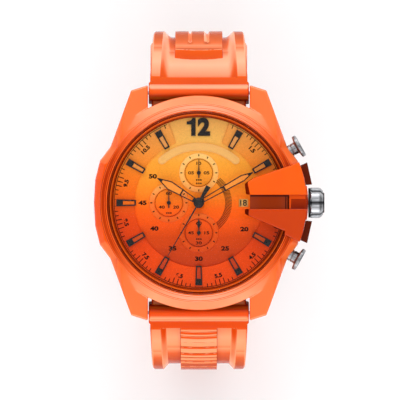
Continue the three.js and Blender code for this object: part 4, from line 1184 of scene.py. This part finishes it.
def strap_section(s, width, height, under, block, rail, chamfer):
    """One closed cross section: the outer face from height(x), rounded edges, and the inner face."""
    half = columns(width, block, rail, chamfer)
    x = np.concatenate([-half[::-1], half[1:]])
    edge = np.clip((np.abs(x) - (width - 0.6)) / 0.6, 0, 1)
    top = height(x) - 0.6 * (1 - np.sqrt(1 - edge ** 2))
    back = np.linspace(1, -1, 41)
    bx = (width - 0.5) * back
    lower = -under(bx)
    corner = [(width - 0.15, float(lower[0]) + 0.15), (width, float(lower[0]) + 0.5)]
    xs = np.concatenate([x, [width, width - 0.15], bx, [-(width - 0.15), -width]])
    ns = np.concatenate([top, [corner[1][1], corner[0][1]], lower, [corner[0][1], corner[1][1]]])
    return xs, ns


def root_height(s):
    """The outer face of the moulded root: a round bar with a thin tongue behind it."""
    return math.sqrt(max(2.3 ** 2 - s * s, 0.04)) if s > -2.2 else 0.2


def stations(marks, length, coarse):
    """Distances along the strap, coarse everywhere and fine near the marks."""
    base = list(np.arange(-3.4, length, coarse))
    for mark, reach, fine in marks:
        base += list(np.arange(mark - reach, mark + reach, fine))
    base = sorted(round(s, 3) for s in base if -3.4 <= s <= length)
    out = [base[0]]
    for s in base[1:]:
        if s - out[-1] > 0.045:
            out.append(s)
    return out


def strap_width(s, stops):
    body = table(s, stops)
    bar = 12.3 if s > -2.15 else 11.6
    return bar + (body - bar) * float(step_up(s, 1.7, 2.2))


def upper_surface(s, width):
    rail_height = table(s, [(1.2, 2.0), (2.6, 2.95), (3.0, 3.1), (11, 3.15), (16, 3.65), (22, 3.5), (30, 1.8),
                            (42, 1.75), (46, 1.55), (60, 1.5)])
    depth = table(s, [(2.4, 1.5), (24, 1.5), (30, 0.42), (42, 0.4), (46, 0.12), (60, 0.05)])
    fade = float(step_up(s, 23.5, 27.0))

    def height(x):
        ax = np.abs(x)
        inset = np.minimum(np.maximum(width - 2.5 - ax, 0) / 2.1, max(s - 2.8, 0) / 0.6)
        recess = depth * np.sin(np.clip(inset, 0, 1) * math.pi / 2)
        h = rail_height - recess
        inside = 1 - step_up(ax, 5.78, 5.92)
        ramp = np.clip((s - 8.25 - 0.55 * (x / 5.85) ** 2) / 1.25, 0, 1) ** 0.8
        plate_height = rail_height + 0.28 - 0.22 * step_up(s, 9.6, 10.4)
        target = plate_height * (1 - fade) + (rail_height - depth) * fade
        block = inside * ramp * (target - h)
        h = h + np.maximum(block, 0)
        groove = np.maximum(np.exp(-((x - 2.05) / 0.42) ** 4), np.exp(-((x + 2.13) / 0.25) ** 4))
        groove = groove * step_up(s, 11.6, 13.6) * (1 - fade)
        h = h - 0.75 * groove * inside
        if s < 2.4:
            blend = float(step_up(s, 1.15, 1.4))
            h = root_height(s) * (1 - blend) + h * blend
        if s > UPPER.length:
            h = np.full_like(x, math.sqrt(max(1.9 ** 2 - (s - UPPER.length) ** 2, 0.01)))
        elif s > UPPER.length - 3:
            blend = float(step_up(s, UPPER.length - 3, UPPER.length))
            h = h * (1 - blend) + 1.9 * blend
        return h

    def under(x):
        base = table(s, [(2.3, 1.9), (6, 1.6), (60, 1.5)])
        if s < 2.3:
            base = 2.0 if s < -1.2 else math.sqrt(max(2.3 ** 2 - s * s, 0.04)) * 0.9 + 0.2
        ribs = 0.18 * (0.5 + 0.5 * math.cos(2 * math.pi * s / 3.2)) * step_up(np.abs(x), 8.0, 7.0)
        if 8 < s < UPPER.length - 6:
            base = base - ribs
        if s > UPPER.length - 3:
            end = 1.9 if s <= UPPER.length else math.sqrt(max(1.9 ** 2 - (s - UPPER.length) ** 2, 0.01))
            base = base * (1 - float(step_up(s, UPPER.length - 3, UPPER.length))) + end * float(
                step_up(s, UPPER.length - 3, UPPER.length))
        return base + 0 * x

    return height, under


UPPER_WIDTH = [(3.3, 11.95), (24, 10.75), (44, 10.2), (52, 10.0)]
LOWER_WIDTH = [(3.3, 11.95), (24, 11.0), (60, 10.2), (109, 9.8), (120, 9.8)]


def upper_strap():
    rows = []
    marks = [(-2.2, 0.3, 0.06), (0.5, 3.2, 0.2), (2.1, 0.4, 0.05), (3.2, 0.9, 0.08), (8.8, 1.8, 0.09),
             (12.4, 1.4, 0.12), (UPPER.length + 1.7, 0.25, 0.05)]
    for s in stations(marks, UPPER.length + 1.88, 0.4):
        width = strap_width(s, UPPER_WIDTH)
        height, under = upper_surface(s, width)
        x, n = strap_section(s, width, height, under, 5.85, 2.5, 2.1)
        rows.append(on_strap(UPPER, 1, s, x, n))
    return grid_surface(rows)


TIP_START, TIP_SPAN = 113.4, 1.5


def rounding(s, start, span):
    """How far a round end has fallen in: 0 at its start, 1 at its tip."""
    return 1 - math.sqrt(max(1 - (max(s - start, 0.0) / span) ** 2, 0.0))


def lower_surface(s, width):
    rail_height = table(s, [(1.2, 2.0), (2.6, 2.9), (3.0, 3.05), (9, 3.1), (14, 3.6), (24, 3.55), (36, 3.1),
                            (52.6, 1.55), (78, 1.42), (120, 1.42)])
    depth = table(s, [(2.4, 1.4), (36, 1.4), (52.6, 0.25), (120, 0.22)])
    fade = float(step_up(s, 34, 44))

    def height(x):
        ax = np.abs(x)
        inset = np.minimum(np.clip((width - 2.6 - ax) / 1.25, 0, 1), np.clip((s - 2.7) / 0.6, 0, 1))
        h = rail_height - depth * inset
        inside = 1 - step_up(ax, 4.42, 4.56)
        target = (rail_height + 0.1) * (1 - fade) + (rail_height - depth) * fade
        bend = 0.012 * x * x
        target = target - 0.42 * step_up(s + bend * 0.5, 6.2, 6.45) * (1 - step_up(s + bend, 8.0, 12.0)) * (1 - fade)
        for at, size in ((3.9, 0.22), (4.95, 0.2), (8.1, 0.24), (9.9, 0.26), (11.1, 0.2), (12.4, 0.32), (14.6, 0.22),
                         (17.0, 0.22), (19.5, 0.22)):
            target = target - size * np.exp(-((s + bend - at) / 0.22) ** 2)
        h = h + np.maximum(inside * (target - h), 0) * float(step_up(s, 2.2, 2.8))
        if s < 2.4:
            blend = float(step_up(s, 1.15, 1.4))
            h = root_height(s) * (1 - blend) + h * blend
        return h - 0.9 * rounding(s, TIP_START, TIP_SPAN)

    def under(x):
        base = table(s, [(2.3, 1.9), (6, 1.6), (78, 1.4)])
        if s < 2.3:
            base = 2.0 if s < -1.2 else math.sqrt(max(2.3 ** 2 - s * s, 0.04)) * 0.9 + 0.2
        ribs = 0.18 * (0.5 + 0.5 * math.cos(2 * math.pi * s / 3.2)) * step_up(np.abs(x), 8.0, 7.0)
        if 8 < s < 60:
            base = base - ribs * float(1 - step_up(s, 56, 60))
        return base - 0.8 * rounding(s, TIP_START, TIP_SPAN) + 0 * x

    return height, under


def lower_strap():
    rows = []
    marks = [(-2.2, 0.3, 0.06), (0.5, 3.2, 0.2), (2.1, 0.4, 0.05), (3.9, 1.5, 0.08), (6.4, 0.5, 0.07),
             (9.6, 3.4, 0.12), (17, 4, 0.16), (114.0, 0.8, 0.08)]
    for s in stations(marks, 114.82, 0.45):
        width = strap_width(s, LOWER_WIDTH)
        width = width - (width - 5.6) * rounding(s, 108, 6.9)
        height, under = lower_surface(s, width)
        rail = min(2.6, width * 0.28)
        x, n = strap_section(s, width, height, under, min(4.5, width * 0.5), rail, 1.25)
        rows.append(on_strap(LOWER, -1, s, x, n))
    return grid_surface(rows)


def flat_frame(spine, side, s):
    """Maps (x, along, n) to points of a straight frame that stands at a distance s along a strap."""
    base = on_strap(spine, side, s, 0, 0)
    along = (on_strap(spine, side, s + 0.01, 0, 0) - base) / 0.01
    return lambda x, a, n: on_strap(spine, side, s, x, n) + along * a


def box_shell(frame_at, x0, x1, a0, a1, n0, n1, corner=0.5):
    """A block with rounded corners that stands through a strap; frame_at maps (x, along, n) to points."""
    loop = soften([(x0, a0), (x1, a0), (x1, a1), (x0, a1)], corner, 5)
    rows = [[frame_at(x, a, n) for x, a in loop] for n in (n0, n1)]
    return grid_surface(rows)


strap_upper = piece("strap_12_half", upper_strap(), STRAP, "strap_12_side", "strap_upper", 32)
END = UPPER.length


def at_end(x, a, n):
    return on_strap(UPPER, 1, END + a, x, n)


carve(strap_upper, box_shell(at_end, -2.5, 2.5, -4.0, 4.0, -4.0, 4.0, 0.4))

strap_lower = piece("strap_6_half", lower_strap(), STRAP, "strap_6_side", "strap_lower", 32)
holes = Sheaf()
for i in range(8):
    holes.merge(box_shell(flat_frame(LOWER, -1, 65 + 6 * i), -1.4, 1.4, -1.0, 1.0, -4, 4, 0.45))
carve(strap_lower, holes)


def keeper(s, half_width, inside):
    """A soft rectangular loop round the strap."""
    outside, wall, half = 4.9, 1.1, 2.75

    def ring(grow, corner):
        x, low, high = half_width + grow, inside - grow, outside + grow
        return soften([(-x, low), (x, low), (x, high), (-x, high)], corner, 6)

    loop, outer = ring(0.0, 0.9), ring(wall, 1.9)
    edge = [(0.0, half - 0.25), (0.08, half - 0.08), (0.25, half), (0.75, half), (0.92, half - 0.1),
            (1.0, half - 0.35), (1.0, 0.5), (0.93, 0.3)]
    section = [(thick, -a) for thick, a in edge] + edge[::-1]
    at = flat_frame(UPPER, 1, s)
    rows = []
    for (xi, ni), (xo, no) in zip(loop, outer):
        row = []
        for t, a in section:
            x, n = xi + (xo - xi) * t, ni + (no - ni) * t
            row.append(at(x, a, n))
        rows.append(row)
    rows.append(rows[0])
    return grid_surface(rows, capped=False)


piece("keeper_moulded", keeper(43.5, 10.4, -1.65), STRAP, "strap_12_side", "keeper_fixed", 40)
piece("keeper_sliding", keeper(36.5, 10.9, -2.0), STRAP, "keeper_slider", "keeper_loose", 40)

# ---------- buckle ----------
BAR_OUT, BAR_Z, _ = UPPER.at(END)


def on_buckle(sheaf):
    """x across, y down the buckle, z out of its outer face, hung from the strap's end."""
    v = np.array(sheaf.verts)
    made = Sheaf()
    made.verts = [tuple(p) for p in np.stack([v[:, 0], BAR_OUT + v[:, 2], BAR_Z - v[:, 1]], 1)]
    made.faces, made.slots = list(sheaf.faces), list(sheaf.slots)
    return made


frame_side = [(12.25, -1.6), (11.0, -1.6), (11.0, 12.0), (10.2, 13.2)]
frame_rim = [(10.65, 15.6), (12.25, 12.8)]
frame_loop = soften(
    [(-x, y) for x, y in frame_side] + [(x, y) for x, y in frame_side[::-1]]
    + [(x, y) for x, y in frame_rim[::-1]] + [(-x, y) for x, y in frame_rim],
    [0.6, 0.3, 0.8, 0.8, 0.8, 0.8, 0.3, 0.6, 1.5, 1.5, 1.5, 1.5], 5)
piece("buckle_bow", on_buckle(plate([frame_loop], -1.2, 1.2, 0.35, 4)), STEEL, "buckle",
      "buckle_frame", 40)


def tongue():
    """A ring round the bar with a flat prong that lies on the bow."""
    side = circle(1.72, 40)
    ring = plate([side, circle(0.86, 32)], -2.05, 2.05, 0.12, 2)
    prong = plate([soften([(0.9, 0.6), (15.2, 1.4), (15.3, 2.1), (14.6, 2.4), (1.2, 1.9), (0.2, 1.6)],
                          [0.1, 0.2, 0.2, 0.3, 0.3, 0.2], 4)], -1.02, 1.02, 0.2, 3)
    made = Sheaf()
    for part in (ring, prong):
        v = np.array(part.verts)
        part.verts = [tuple(p) for p in np.stack([v[:, 2], v[:, 0], v[:, 1]], 1)]
        made.merge(part)
    return made


piece("buckle_prong", on_buckle(tongue()), STEEL_BRIGHT, "tongue", "buckle_tongue", 40)

# ---------- what stays of the CAD ----------
for made in frame["record"]["subparts"]:
    node = frame["nodes"][made["node"]]
    node.data.materials.clear()
    node.data.materials.append(MATERIAL_OF_SLOT[made["material_slot"]])

# ---------- stage ----------
floor_nodes = Nodes("floor_pale")
floor_nodes.colour(floor_nodes.mix(floor_nodes.noise(6.0), (0.93, 0.93, 0.93, 1), (0.96, 0.96, 0.96, 1)))
floor_nodes.rough(floor_nodes.spread(floor_nodes.noise(9.0), 0.3, 0.7, 0.55, 0.7))
floor_mesh = bpy.data.meshes.new("studio_floor")
reach = 6000 * MM
floor_mesh.from_pydata(
    [(x * reach, y * reach, (FLOOR_Z - 0.05) * MM) for x, y in ((-1, -1), (1, -1), (1, 1), (-1, 1))], [], [(0, 1, 2, 3)])
floor_mesh.materials.append(floor_nodes.material)
floor = bpy.data.objects.new("studio_floor", floor_mesh)
bpy.context.scene.collection.objects.link(floor)

world = bpy.data.worlds.new("studio")
bpy.context.scene.world = world
world.use_nodes = True
sky = world.node_tree


def sky_math(operation, *values):
    made = sky.nodes.new("ShaderNodeMath")
    made.operation = operation
    for socket, value in zip(made.inputs, values):
        if isinstance(value, (int, float)):
            socket.default_value = value
        else:
            sky.links.new(value, socket)
    return made.outputs[0]


# Bright towards 12 and 6 o'clock, dark to the sides and straight overhead.
way = sky.nodes.new("ShaderNodeSeparateXYZ")
sky.links.new(sky.nodes.new("ShaderNodeTexCoord").outputs["Generated"], way.inputs[0])
middle = sky_math("POWER", sky_math("SUBTRACT", 1.0, sky_math("ABSOLUTE", way.outputs[0])), 1.6)
zenith = sky.nodes.new("ShaderNodeMapRange")
zenith.interpolation_type = "SMOOTHSTEP"
for socket, value in zip(list(zenith.inputs)[1:5], (0.93, 0.995, 1.0, 0.22)):
    socket.default_value = value
sky.links.new(way.outputs[2], zenith.inputs[0])
glow = sky_math("MULTIPLY", sky_math("MULTIPLY_ADD", middle, 2.1, 0.12), zenith.outputs[0])
sky.nodes["Background"].inputs["Color"].default_value = (0.99, 0.99, 1.0, 1)
sky.links.new(glow, sky.nodes["Background"].inputs["Strength"])


def softbox(name, place, target, size, power):
    data = bpy.data.lights.new(name, "AREA")
    data.shape, data.size, data.size_y, data.energy = "RECTANGLE", size[0] * MM, size[1] * MM, power
    lamp = bpy.data.objects.new(name, data)
    lamp.location = [c * MM for c in place]
    direction = np.array(target, float) - np.array(place, float)
    lamp.rotation_euler = mathutils.Vector(direction).to_track_quat("-Z", "Y").to_euler()
    bpy.context.scene.collection.objects.link(lamp)


softbox("softbox_top", (0, 460, 170), (0, 0, 0), (760, 230), 1.1)
softbox("softbox_bottom", (0, -460, 170), (0, 0, 0), (760, 230), 1.0)

camera_data = bpy.data.cameras.new("camera")
camera_data.sensor_width = 36.0
DISTANCE = 2500.0
FRAME_WIDTH = 98.0
camera_data.lens = 36.0 * DISTANCE / FRAME_WIDTH
camera_data.clip_start, camera_data.clip_end = 0.1, 20
camera = bpy.data.objects.new("camera", camera_data)
camera.location = (0.29 * MM, 0.69 * MM, (DISTANCE + 9.0) * MM)
camera.rotation_euler = (0, 0, 0)
bpy.context.scene.collection.objects.link(camera)
bpy.context.scene.camera = camera
bpy.context.scene.view_settings.view_transform = "Standard"
